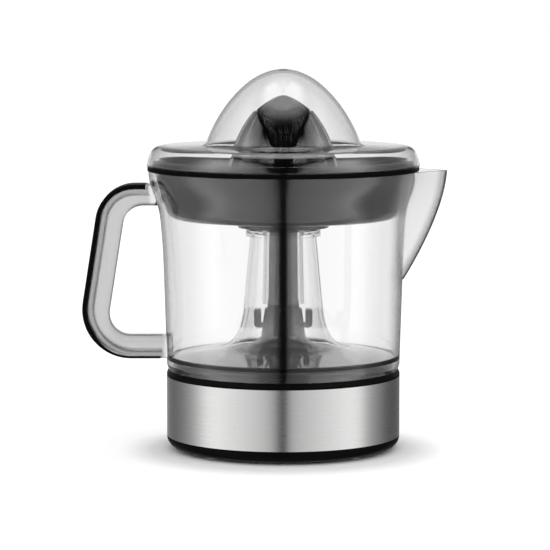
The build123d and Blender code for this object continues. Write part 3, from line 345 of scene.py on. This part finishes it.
# %% [markdown]
# Moulded plastic is never quite even: the mould leaves a fine grain, and handling polishes it in soft
# patches. Both effects are used by several plastics, so each is a node group with its own inputs. A group
# only gives out values; the shader itself stays in the material.

# %% Shared effects


def new_group(name, inputs, outputs):
    """A shader node group with float sockets of these names."""
    group = bpy.data.node_groups.new(name, "ShaderNodeTree")
    for socket, value in inputs.items():
        made = group.interface.new_socket(socket, in_out="INPUT", socket_type="NodeSocketFloat")
        made.default_value = value
    for socket in outputs:
        group.interface.new_socket(socket, in_out="OUTPUT", socket_type="NodeSocketFloat")
    return group, group.nodes.new("NodeGroupInput"), group.nodes.new("NodeGroupOutput")


grain_group, given, result = new_group("moulded_grain", {"Scale": 4000.0}, ["Height"])
place = add_node(grain_group, "TexCoord", {}).outputs["Object"]
grain_noise = {"Vector": place, "Scale": given.outputs["Scale"], "Detail": 2.0}
noise = add_node(grain_group, "TexNoise", grain_noise)
grain_group.links.new(noise.outputs["Fac"], result.inputs["Height"])

noise_low, noise_high = 0.3, 0.7
patch_inputs = {"Low": 0.3, "High": 0.4, "Scale": 60.0}
patch_group, given, result = new_group("handled_sheen", patch_inputs, ["Roughness"])
place = add_node(patch_group, "TexCoord", {}).outputs["Object"]
patch_noise = {"Vector": place, "Scale": given.outputs["Scale"], "Detail": 4.0}
noise = add_node(patch_group, "TexNoise", patch_noise)
low, high = given.outputs["Low"], given.outputs["High"]
patches = map_range(patch_group, noise.outputs["Fac"], noise_low, noise_high, low, high)
patch_group.links.new(patches, result.inputs["Roughness"])
print("groups", [group.name for group in bpy.data.node_groups])

# %% [markdown]
# A plastic is then its own shader, fed by the two groups: grain into a small bump, patches into roughness.
# One recipe serves all of them. The greys are one resin with three finishes: glossy on the strainer, satin on
# the inner reamer and polished on the deck under the jug. Black plastic and rubber are dull, with hardly any
# mirror, and the nylon of the gears and the cones' bush is the only pale one.

# %% Plastic recipe
MICRON = 0.000001


def add_group(material, group, **values):
    """Places a shared effect in a material with its own values."""
    node = material.node_tree.nodes.new("ShaderNodeGroup")
    node.node_tree = group
    for socket, value in values.items():
        node.inputs[socket].default_value = value
    return node


def plastic(name, colour, rough, grain, specular=0.5):
    """A moulded plastic: colour, a roughness that wanders between two values, and a grain (scale, depth)."""
    material, shader = new_material(name)
    tree = material.node_tree
    shader.inputs["Base Color"].default_value = (*colour, 1.0)
    shader.inputs["Specular IOR Level"].default_value = specular
    sheen = add_group(material, patch_group, Low=rough[0], High=rough[1])
    tree.links.new(sheen.outputs["Roughness"], shader.inputs["Roughness"])
    height = add_group(material, grain_group, Scale=grain[0]).outputs["Height"]
    bump = add_node(tree, "Bump", {"Height": height, "Strength": 1.0, "Distance": grain[1]})
    tree.links.new(bump.outputs["Normal"], shader.inputs["Normal"])
    return material


grey_resin, black_resin, black_gum = (0.004, 0.004, 0.0042), (0.003, 0.003, 0.003), (0.002, 0.002, 0.002)
smooth_grain, polished_grain = (2500.0, 2 * MICRON), (2500.0, 1 * MICRON)
nylon_grain = (3000.0, 20 * MICRON)
dark_grey = plastic("dark_grey_plastic", grey_resin, (0.08, 0.13), smooth_grain, specular=0.6)
satin_grey = plastic("satin_grey_plastic", grey_resin, (0.2, 0.3), smooth_grain, specular=0.22)
polished_grey = plastic("polished_grey_plastic", grey_resin, (0.08, 0.14), polished_grain, specular=0.9)
black = plastic("black_plastic", black_resin, (0.3, 0.42), (3000.0, 5 * MICRON), specular=0.03)
rubber = plastic("black_rubber", black_gum, (0.45, 0.6), (3500.0, 10 * MICRON), specular=0.03)
nylon = plastic("white_nylon", (0.78, 0.78, 0.75), (0.4, 0.5), nylon_grain)
switch_shell = plastic("switch_plastic", (0.06, 0.06, 0.065), (0.4, 0.5), nylon_grain)
ferrite = plastic("ferrite", (0.03, 0.03, 0.032), (0.55, 0.65), (1500.0, 40 * MICRON))
opaque = (dark_grey, satin_grey, polished_grey, black, rubber, nylon, switch_shell, ferrite)
print("opaque finishes", [finish.name for finish in opaque])

# %% [markdown]
# Clear plastic is a glass-like shader with the index of a kitchen plastic. It also swallows a little light
# on the way through, so a thick handle is greyer than a thin wall, and a wall seen along its length is grey
# too. The cover over the cones is smoked: it swallows four to five times as much.

# %% Clear plastics


def clear_plastic(name, density, rough):
    """A see-through plastic of index 1.5 that takes away light with every metre, as density says."""
    material, shader = new_material(name)
    tree = material.node_tree
    shader.inputs["Base Color"].default_value = (1.0, 1.0, 1.0, 1.0)
    shader.inputs["Transmission Weight"].default_value = 1.0
    shader.inputs["IOR"].default_value = 1.5
    absorption = add_node(tree, "VolumeAbsorption", {"Color": (0.0, 0.0, 0.0, 1.0), "Density": density})
    tree.links.new(absorption.outputs["Volume"], tree.nodes["Material Output"].inputs["Volume"])
    sheen = add_group(material, patch_group, Low=rough[0], High=rough[1], Scale=25.0)
    tree.links.new(sheen.outputs["Roughness"], shader.inputs["Roughness"])
    return material


clear_sheen = (0.0, 0.02)
clear = clear_plastic("clear_plastic", 7.0, clear_sheen)
smoked = clear_plastic("smoked_plastic", 32.0, clear_sheen)
print("clear finishes", clear.name, smoked.name)

# %% [markdown]
# The jug's wall is polished, but its handle and spout look soft, as handled plastic does, and grey. A second
# material could give that, but the jug is one solid without a seam. So masks on the object's own coordinates
# add roughness at both ends and paint a grey shade into the handle's colour, in place of the shade seen through
# it. A last mask paints shade on the spout's front edge, where one looks along the wall.

# %% Soft ends and painted shade of the jug
spout_tip, spout_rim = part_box("jug")[1][0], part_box("jug")[1][2]
spout_foot = spout_rim - 0.0685
spout_reach, spout_bend = 0.0273, 1.55
# painted shade on the spout's front edge: the last number on the next line is how dark it is painted
prow_start, prow_full, prow_painted_shade = 0.0065, 0.0015, 0.62
# painted shade: the last number on the next line is how grey the handle's colour is painted
handle_x, handle_blend, handle_painted_shade = -0.0662, 0.002, 0.72
spout_x, spout_blend = 0.066, 0.006
wall_lean = 0.095
end_roughness = 0.25


def painted_prow_shade(tree, x, z):
    """A painted shade: a tint of 1 that falls at the spout's front line, where one looks along the wall. That
    line is x = tip - reach t^bend, with t from 0 at the rim to 1 at the spout's foot."""
    down = map_range(tree, z, spout_rim, spout_foot, 0.0, 1.0)
    bent = math_node(tree, "POWER", down, spout_bend)
    line = math_node(tree, "MULTIPLY_ADD", bent, -spout_reach, spout_tip)
    behind = math_node(tree, "SUBTRACT", line, x)
    near = map_range(tree, behind, prow_start, prow_full, 0.0, 1.0)
    above = map_range(tree, z, spout_foot - 0.004, spout_foot + 0.006, 0.0, 1.0)
    share = math_node(tree, "MULTIPLY", near, above)
    return map_range(tree, share, 0.0, 1.0, 1.0, prow_painted_shade)


def soften_ends_and_paint_shade(material):
    """Adds roughness beyond two places on X, and a painted grey shade in the colour, on the handle and the
    spout's front edge. The handle's place leans with the jug's wall, x + wall_lean z = handle_x, and the
    spout's is x = spout_x."""
    tree = material.node_tree
    shader = tree.nodes["Principled BSDF"]
    place = add_node(tree, "TexCoord", {}).outputs["Object"]
    axes = add_node(tree, "SeparateXYZ", {"Vector": place}).outputs
    x, z = axes["X"], axes["Z"]
    upright = math_node(tree, "MULTIPLY_ADD", z, wall_lean, x)
    handle_end, spout_end = handle_x - handle_blend, spout_x + spout_blend
    # painted shade: the handle's colour greys towards its end, in place of the shade seen through it
    grey = map_range(tree, upright, handle_x, handle_end, 1.0, handle_painted_shade)
    tint = math_node(tree, "MULTIPLY", grey, painted_prow_shade(tree, x, z))
    tree.links.new(tint, shader.inputs["Base Color"])
    polish = shader.inputs["Roughness"].links[0].from_socket
    on_handle = map_range(tree, upright, handle_x, handle_end, 0.0, end_roughness)
    on_spout = map_range(tree, x, spout_x, spout_end, 0.0, end_roughness)
    total = math_node(tree, "ADD", math_node(tree, "ADD", polish, on_handle), on_spout)
    tree.links.new(total, shader.inputs["Roughness"])


soften_ends_and_paint_shade(clear)
print("spout from", round(spout_foot, 4), "to", round(spout_rim, 4), "m, tip at", round(spout_tip, 4))

# %% [markdown]
# The steel skin was brushed round the base, so its lines run level. Noise that is stretched along X and Y and
# squeezed along Z makes those lines in the roughness, and the shader's anisotropy smears the lights up and
# down. Bump could draw the lines too, but at this size they would only flicker. The other metals are screws,
# clips and the motor's parts. They are plain, apart from the stator, whose thin sheets show as lines.

# %% Metals


def metal(name, colour, rough, streak=None, anisotropy=0.0):
    """A metal: constant colour, and a roughness that wanders in patches or, where streak is given, in lines."""
    material, shader = new_material(name)
    tree = material.node_tree
    shader.inputs["Base Color"].default_value = (*colour, 1.0)
    shader.inputs["Metallic"].default_value = 1.0
    shader.inputs["Anisotropic"].default_value = anisotropy
    shader.inputs["Anisotropic Rotation"].default_value = 0.25
    if streak is None:
        sheen = add_group(material, patch_group, Low=rough[0], High=rough[1])
        tree.links.new(sheen.outputs["Roughness"], shader.inputs["Roughness"])
        return material
    place = add_node(tree, "TexCoord", {}).outputs["Object"]
    stretched = add_node(tree, "Mapping", {"Vector": place, "Scale": streak}).outputs["Vector"]
    lines = add_node(tree, "TexNoise", {"Vector": stretched, "Scale": 1.0}).outputs["Fac"]
    spread = map_range(tree, lines, noise_low, noise_high, *rough)
    tree.links.new(spread, shader.inputs["Roughness"])
    tangent = add_node(tree, "Tangent", {})
    tangent.direction_type = "RADIAL"
    tangent.axis = "Z"
    tree.links.new(tangent.outputs["Tangent"], shader.inputs["Tangent"])
    return material


brush_lines, sheet_lines = (25.0, 25.0, 900.0), (20.0, 20.0, 2000.0)
brushed = metal("brushed_steel", (0.66, 0.66, 0.655), (0.26, 0.31), brush_lines, anisotropy=0.9)
bright = metal("bright_steel", (0.62, 0.62, 0.61), (0.2, 0.3))
laminated = metal("laminated_steel", (0.28, 0.28, 0.29), (0.45, 0.55), sheet_lines)
copper = metal("copper_wire", (0.72, 0.33, 0.17), (0.25, 0.35))
bronze = metal("bronze", (0.55, 0.36, 0.17), (0.4, 0.5))
print("metals", [finish.name for finish in (brushed, bright, laminated, copper, bronze)])

# %% [markdown]
# The record names a material slot for every solid, such as the slot of the clear jug or of the steel skin.
# Each slot gets its finish here, so a solid that keeps its shape needs nothing more. Only the deck under the
# jug differs from its slot: on the real press it is polished, and mirrors the jug's foot.

# %% Dress the solids
finish_of = {
    "clear_plastic": clear,
    "smoked_plastic": smoked,
    "dark_grey_plastic": dark_grey,
    "black_plastic": black,
    "black_rubber": rubber,
    "brushed_steel": brushed,
    "bright_steel": bright,
    "laminated_steel": laminated,
    "copper_wire": copper,
    "ferrite": ferrite,
    "white_nylon": nylon,
    "bronze": bronze,
    "switch_plastic": switch_shell,
}
slot_of = {row["node"]: row["material_slot"] for row in frame["record"]["subparts"]}
for node, solid in frame["nodes"].items():
    solid.data.materials.clear()
    solid.data.materials.append(finish_of[slot_of[node]])
frame["nodes"]["top_deck"].data.materials[0] = polished_grey
print("dressed", len(slot_of), "solids in", len(finish_of), "finishes")

# %% [markdown]
# The next pieces follow drawn lines: a smooth curve through a few handles, with points an even step apart and
# soft corners. Three helpers make such lines.

# %% Line helpers


def bezier(start, first, second, end, count):
    """Points of a cubic curve: (1-t)^3 a + 3t(1-t)^2 b + 3t^2(1-t) c + t^3 d, for t from 0 to 1."""
    t = np.linspace(0.0, 1.0, count)[:, None]
    a, b, c, d = (np.array(point, dtype=float) for point in (start, first, second, end))
    return (1 - t) ** 3 * a + 3 * t * (1 - t) ** 2 * b + 3 * t ** 2 * (1 - t) * c + t ** 3 * d


def spaced(points, step):
    """The same line, with points an even step apart along its length."""
    length = np.concatenate([[0.0], np.cumsum(np.linalg.norm(np.diff(points, axis=0), axis=1))])
    marks = np.linspace(0.0, length[-1], max(2, int(round(length[-1] / step)) + 1))
    return np.stack([np.interp(marks, length, points[:, axis]) for axis in (0, 1)], axis=-1)


def eased(points, reach):
    """A line with soft corners: each point is the mean of its neighbours up to reach steps away; ends stay."""
    before = 2 * points[0] - points[reach:0:-1]
    after = 2 * points[-1] - points[-2:-reach - 2:-1]
    padded = np.concatenate([before, points, after])
    window = np.ones(2 * reach + 1) / (2 * reach + 1)
    return np.stack([np.convolve(padded[:, axis], window, mode="valid") for axis in (0, 1)], axis=-1)


def inward_of(line):
    """The unit normal on a line's left: its direction turned by a quarter, (dx, dy) to (-dy, dx)."""
    along = np.gradient(line, axis=0)
    along /= np.linalg.norm(along, axis=1, keepdims=True)
    return np.stack([-along[:, 1], along[:, 0]], axis=-1)


# %% [markdown]
# The cover is one thin shell, and its thinness is what shows: a clear shell bends the view along every edge,
# so flat facets would be seen at once. It is made again as a closed profile carried round the axis: a skirt
# that curls into a flat brow, the egg-shaped dome, and the same line again two millimetres inside. Under the
# brow an even wall acts as a lens and throws a broad white band. There the inner line follows the way that
# light takes through the wall, so that both faces stay nearly parallel for it.

# %% Cover profile
cover_low, cover_brow, cover_top = 174.6, 187.0, 234.1
skirt_radius, brow_radius, dome_radius = 84.04, 76.45, 48.2
cover_wall = 2.0
lip_round = cover_wall / 2
flat_rise = 0.6
light_way, light_share = np.array([-1.05, -0.36]), 0.66
brow_inner, brow_outer = 72.0, 78.0
brow_start, brow_full = 177.0, 181.0
gate_ring, gate_ring_half, gate_ring_rise = 2.3, 0.5, 0.12
gate_half, gate_depth, gate_reach = 1.5, 0.3, 5.0


def cover_line():
    """The outer line of the cover from the lip to the axis: skirt, brow and dome, in millimetres."""
    side = bezier(
        (skirt_radius, cover_low + lip_round),
        (skirt_radius - 1.2, cover_low + 6.2),
        (brow_radius + 4.94, cover_brow),
        (brow_radius, cover_brow),
        60,
    )
    crown = bezier(
        (dome_radius, cover_brow),
        (0.88 * dome_radius, cover_brow + 17.9),
        (0.49 * dome_radius, cover_top),
        (0.0, cover_top),
        120,
    )
    crown[:, 1] += flat_rise * (cover_top - crown[:, 1]) / (cover_top - cover_brow)
    return eased(spaced(np.concatenate([side, crown]), 0.5), 4)


def inside_of(line, wall):
    """The line moved inwards by the wall: along its normal, and under the brow partly along light_way."""
    square = inward_of(line)
    radius, height = line[:, :1], line[:, 1:]
    brow_share = light_share * ramp(radius, brow_inner, brow_outer) * ramp(height, brow_start, brow_full)
    moved = line + wall * (square + brow_share * (light_way - square))
    moved[-1, 0] = 0.0
    return moved


def gate_mark(line):
    """The moulding gate left on the dome's top: a shallow dimple in a low ring, two bells over the radius r,
    rise exp(-((r - ring) / half)^2) - depth exp(-(r / half)^2)."""
    r = line[:, 0]
    ring = gate_ring_rise * np.exp(-(((r - gate_ring) / gate_ring_half) ** 2))
    dimple = gate_depth * np.exp(-((r / gate_half) ** 2))
    on_top = line[:, 1] > cover_top - gate_reach
    return line + np.stack([np.zeros_like(r), np.where(on_top, ring - dimple, 0.0)], axis=-1)


# %% Cover shell
round_steps = 192
outer_line = cover_line()
inner_line = inside_of(outer_line, cover_wall)
outer_line = gate_mark(outer_line)
lip_angle = np.linspace(0.0, np.pi, 13)[1:-1]
lip_radius = skirt_radius - lip_round + lip_round * np.cos(lip_angle)
lip_height = cover_low + lip_round - lip_round * np.sin(lip_angle)
lip_line = np.stack([lip_radius, lip_height], axis=-1)
cover_profile = np.concatenate([outer_line[::-1], lip_line, inner_line])
dust_cover = surface("dust_cover_shell", turned(cover_profile * MM, round_steps))
closed(dust_cover)
dust_cover.data.materials.append(smoked)
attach(dust_cover, "dust_cover")
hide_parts("dust_cover")

# %% [markdown]
# A soft black strip lies along the back of the handle. Its path is the handle's outer outline: a top run, a
# leaning side and a bottom run with round corners between them. A rounded rectangle is carried along that
# path, thinner towards the bottom as on the real strip.

# %% Handle strip helpers


def rounded_path(corners, radii, step):
    """A line through these corners, each turned with an arc of its radius, with points a step apart."""
    corners = np.array(corners, dtype=float)
    pieces = [corners[:1]]
    for corner_point, before, after, radius in zip(corners[1:-1], corners[:-2], corners[2:], radii):
        towards = (before - corner_point) / np.linalg.norm(before - corner_point)
        onward = (after - corner_point) / np.linalg.norm(after - corner_point)
        half = 0.5 * np.arccos(np.clip(towards @ onward, -1.0, 1.0))
        between = (towards + onward) / np.linalg.norm(towards + onward)
        middle = corner_point + between * radius / np.sin(half)
        first = corner_point + towards * radius / np.tan(half) - middle
        last = corner_point + onward * radius / np.tan(half) - middle
        turn = np.arctan2(first[0] * last[1] - first[1] * last[0], first @ last)
        angle = np.linspace(0.0, turn, 24)[:, None]
        side = np.array([-first[1], first[0]])
        pieces.append(middle + first * np.cos(angle) + side * np.sin(angle))
    pieces.append(corners[-1:])
    return spaced(np.concatenate(pieces), step)


def rounded_box(half_width, half_depth, corner_radius, count):
    """Rings of a rectangle with round corners: a circle of the corner's radius moved out to four corners."""
    angle = np.linspace(0.0, 2.0 * np.pi, count, endpoint=False) + np.pi / count
    x = corner_radius * np.cos(angle) + np.sign(np.cos(angle)) * (half_width - corner_radius)
    y = corner_radius * np.sin(angle) + np.sign(np.sin(angle)) * (half_depth - corner_radius)
    return x, y


def with_ends(rings):
    """Rings of points with a first and a last row added, each drawn together in its ring's middle."""
    first = np.broadcast_to(rings[:1].mean(axis=1, keepdims=True), rings[:1].shape)
    last = np.broadcast_to(rings[-1:].mean(axis=1, keepdims=True), rings[-1:].shape)
    return np.concatenate([first, rings, last])


# %% Handle strip
grip_high, grip_low = 163.8, 56.6
grip_corners = [(-84.6, grip_high), (-111.9, grip_high), (-128.8, grip_low), (-75.5, grip_low)]
grip_bends = (24.0, 30.0)
grip_half_width, grip_edge = 10.15, 1.1
grip_path = rounded_path(grip_corners, grip_bends, 1.0)
inward = inward_of(grip_path)
grip_thick = curve(grip_path[:, 1], (58.0, 1.4), (70.0, 3.4), (140.0, 3.4), (160.0, 3.0))[:, None]
grip_round = np.minimum(grip_edge, 0.45 * grip_thick)
across, deep = rounded_box(grip_half_width, grip_thick / 2, grip_round, 48)
depth = deep + grip_thick / 2
grip_x = grip_path[:, :1] + inward[:, :1] * depth
grip_z = grip_path[:, 1:] + inward[:, 1:] * depth
print("strip path", len(grip_path), "points", "inward starts", np.round(inward[0], 2))
grip_points = with_ends(np.stack([grip_x, across, grip_z], axis=-1))
handle_strip = surface("handle_strip", grip_points * MM)
closed(handle_strip)
handle_strip.data.materials.append(black)
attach(handle_strip, "jug")
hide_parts("handle_grip")

# %% [markdown]
# The inner reamer is pressed into small fruit by itself, and under the outer one it fills the notch. Its
# moulded body has four flattened sides with upright ribs, which run out into a pointed cap. One formula gives
# the radius for every angle and height: a round body, less a flattening that fades upwards, plus the ribs.

# %% Small cone shape
cone_foot = 152.0
shoulder_height, shoulder_radius, foot_radius = 57.0, 16.6, 23.5
cap_top, cap_blunt, cap_power = 65.8, 0.15, 0.66
flat_depth = 3.6
rib_places, rib_half, rib_sink = (-5.7, -1.9, 1.9, 5.7), 0.75, 1.2
flute_count, flute_depth = 12, 0.5
quarter = np.pi / 2


def body_radius(height):
    """Ridge radius: a body that narrows with the cube of the height, then a cap with a blunt point."""
    share = np.clip(height / shoulder_height, 0.0, 1.0)
    body = foot_radius - (foot_radius - shoulder_radius) * share ** 3
    to_top = np.clip(cap_top + cap_blunt - height, 0.0, None) / (cap_top - shoulder_height)
    return np.minimum(body, shoulder_radius * to_top ** cap_power)


def reamer_radius(turn, height):
    """Radius at an angle and height: the ridge radius less the flats, plus ribs on them, less cap flutes."""
    ridge = body_radius(height)
    flat = flat_depth * (1.0 - ramp(height, 34.0, 57.0)) * np.abs(np.cos(2 * turn))
    sideways = ridge * np.sin(turn - np.round(turn / quarter) * quarter)
    ribs = sum(np.exp(-(((sideways - rib) / rib_half) ** 4)) for rib in rib_places)
    proud = np.maximum(flat - rib_sink, 0.0) * np.clip(ribs, 0.0, 1.0) * (1.0 - ramp(height, 40.0, 50.0))
    flute_share = ramp(height, 44.0, 56.0) * (1.0 - ramp(height, 61.0, 65.0))
    flutes = flute_depth * (0.5 + 0.5 * np.cos(flute_count * turn)) * flute_share
    return ridge - flat + proud - flutes


# %% Small cone
cone_base = min(corner[2] for corner in frame["nodes"]["small_cone"].bound_box) / MM - cone_foot
print("small cone starts", round(cone_base, 2), "mm above the outer cone's rim")
socket_radius, socket_top = 8.8, cone_base + 22.2
reamer_turn, reamer_height = np.meshgrid(
    np.linspace(0.0, 2.0 * np.pi, 400, endpoint=False), np.linspace(cone_base, cap_top, 150), indexing="xy"
)
reamer_skin = np.stack([reamer_radius(reamer_turn, reamer_height), reamer_height], axis=-1)
socket = np.array([(0.0, socket_top), (socket_radius, socket_top), (socket_radius, cone_base)])
socket_rows = np.repeat(socket[:, None, :], reamer_turn.shape[1], axis=1)
top_row = np.broadcast_to((0.0, cap_top), (1, *reamer_skin.shape[1:]))
reamer_rows = np.concatenate([socket_rows, reamer_skin, top_row])
reamer_points = np.stack(
    [
        reamer_rows[..., 0] * np.cos(reamer_turn[:1]),
        reamer_rows[..., 0] * np.sin(reamer_turn[:1]),
        reamer_rows[..., 1] + cone_foot,
    ],
    axis=-1,
)
small_cone = surface("inner_reamer", reamer_points * MM)
closed(small_cone)
small_cone.data.materials.append(satin_grey)
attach(small_cone, "small_cone")
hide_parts("small_cone")

# %% [markdown]
# Inside the cover the strainer ends in a thin rolled lip. A bevel on the strainer's solid would not reach high
# enough, so it is a small ring of its own with a round top, turned on the axis like the cover.

# %% Strainer lip
lip_middle, lip_half, lip_low, lip_top = 79.3, 0.9, 175.6, 178.9
lip_turn = np.linspace(0.0, np.pi, 13)
roll_radius = lip_middle + lip_half * np.cos(lip_turn)
roll_height = lip_top - lip_half + lip_half * np.sin(lip_turn)
lip_outer, lip_inner = (lip_middle + lip_half, lip_low), (lip_middle - lip_half, lip_low)
lip_ring = np.concatenate([[lip_outer], np.stack([roll_radius, roll_height], axis=-1), [lip_inner]])
strainer_lip = surface("strainer_lip", turned(lip_ring * MM, round_steps), wrap_rows=True)
closed(strainer_lip)
strainer_lip.data.materials.append(dark_grey)
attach(strainer_lip, "strainer")

# %% [markdown]
# A steel spring in the foot of the base lifts the drive again after each press. A solid spring could not
# shorten, and the cup above would cut into it, so here it is a round wire wound up a helix. Nobody sees it
# while the base is closed.

# %% Return spring
spring_low, spring_high = (corner[2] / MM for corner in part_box("return_spring"))
spring_turns, spring_radius, wire_radius = 4.0, 5.2, 0.5


def wound_wire(low, high, count, around):
    """A round wire up a helix: centre (R cos a, R sin a, z), and a ring of the wire's radius round it."""
    share = np.linspace(0.0, 1.0, count)[:, None]
    ring = np.linspace(0.0, 2.0 * np.pi, around, endpoint=False)[None, :]
    angle = 2.0 * np.pi * spring_turns * share
    climb = (high - low - 2.0 * wire_radius) / (2.0 * np.pi * spring_turns * spring_radius)
    flat_run = 1.0 / np.hypot(1.0, climb)
    out = spring_radius + wire_radius * np.cos(ring)
    up = wire_radius * np.sin(ring)
    back = -climb * flat_run * up
    x = out * np.cos(angle) - back * np.sin(angle)
    y = out * np.sin(angle) + back * np.cos(angle)
    z = low + wire_radius + (high - low - 2.0 * wire_radius) * share + flat_run * up
    return np.stack([x, y, z], axis=-1)


wire_rings = wound_wire(spring_low, spring_high, 240, 14)
spring_coil = surface("spring_coil", with_ends(wire_rings) * MM)
closed(spring_coil)
spring_coil.data.materials.append(bright)
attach(spring_coil, "base")
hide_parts("return_spring")
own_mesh(spring_coil)
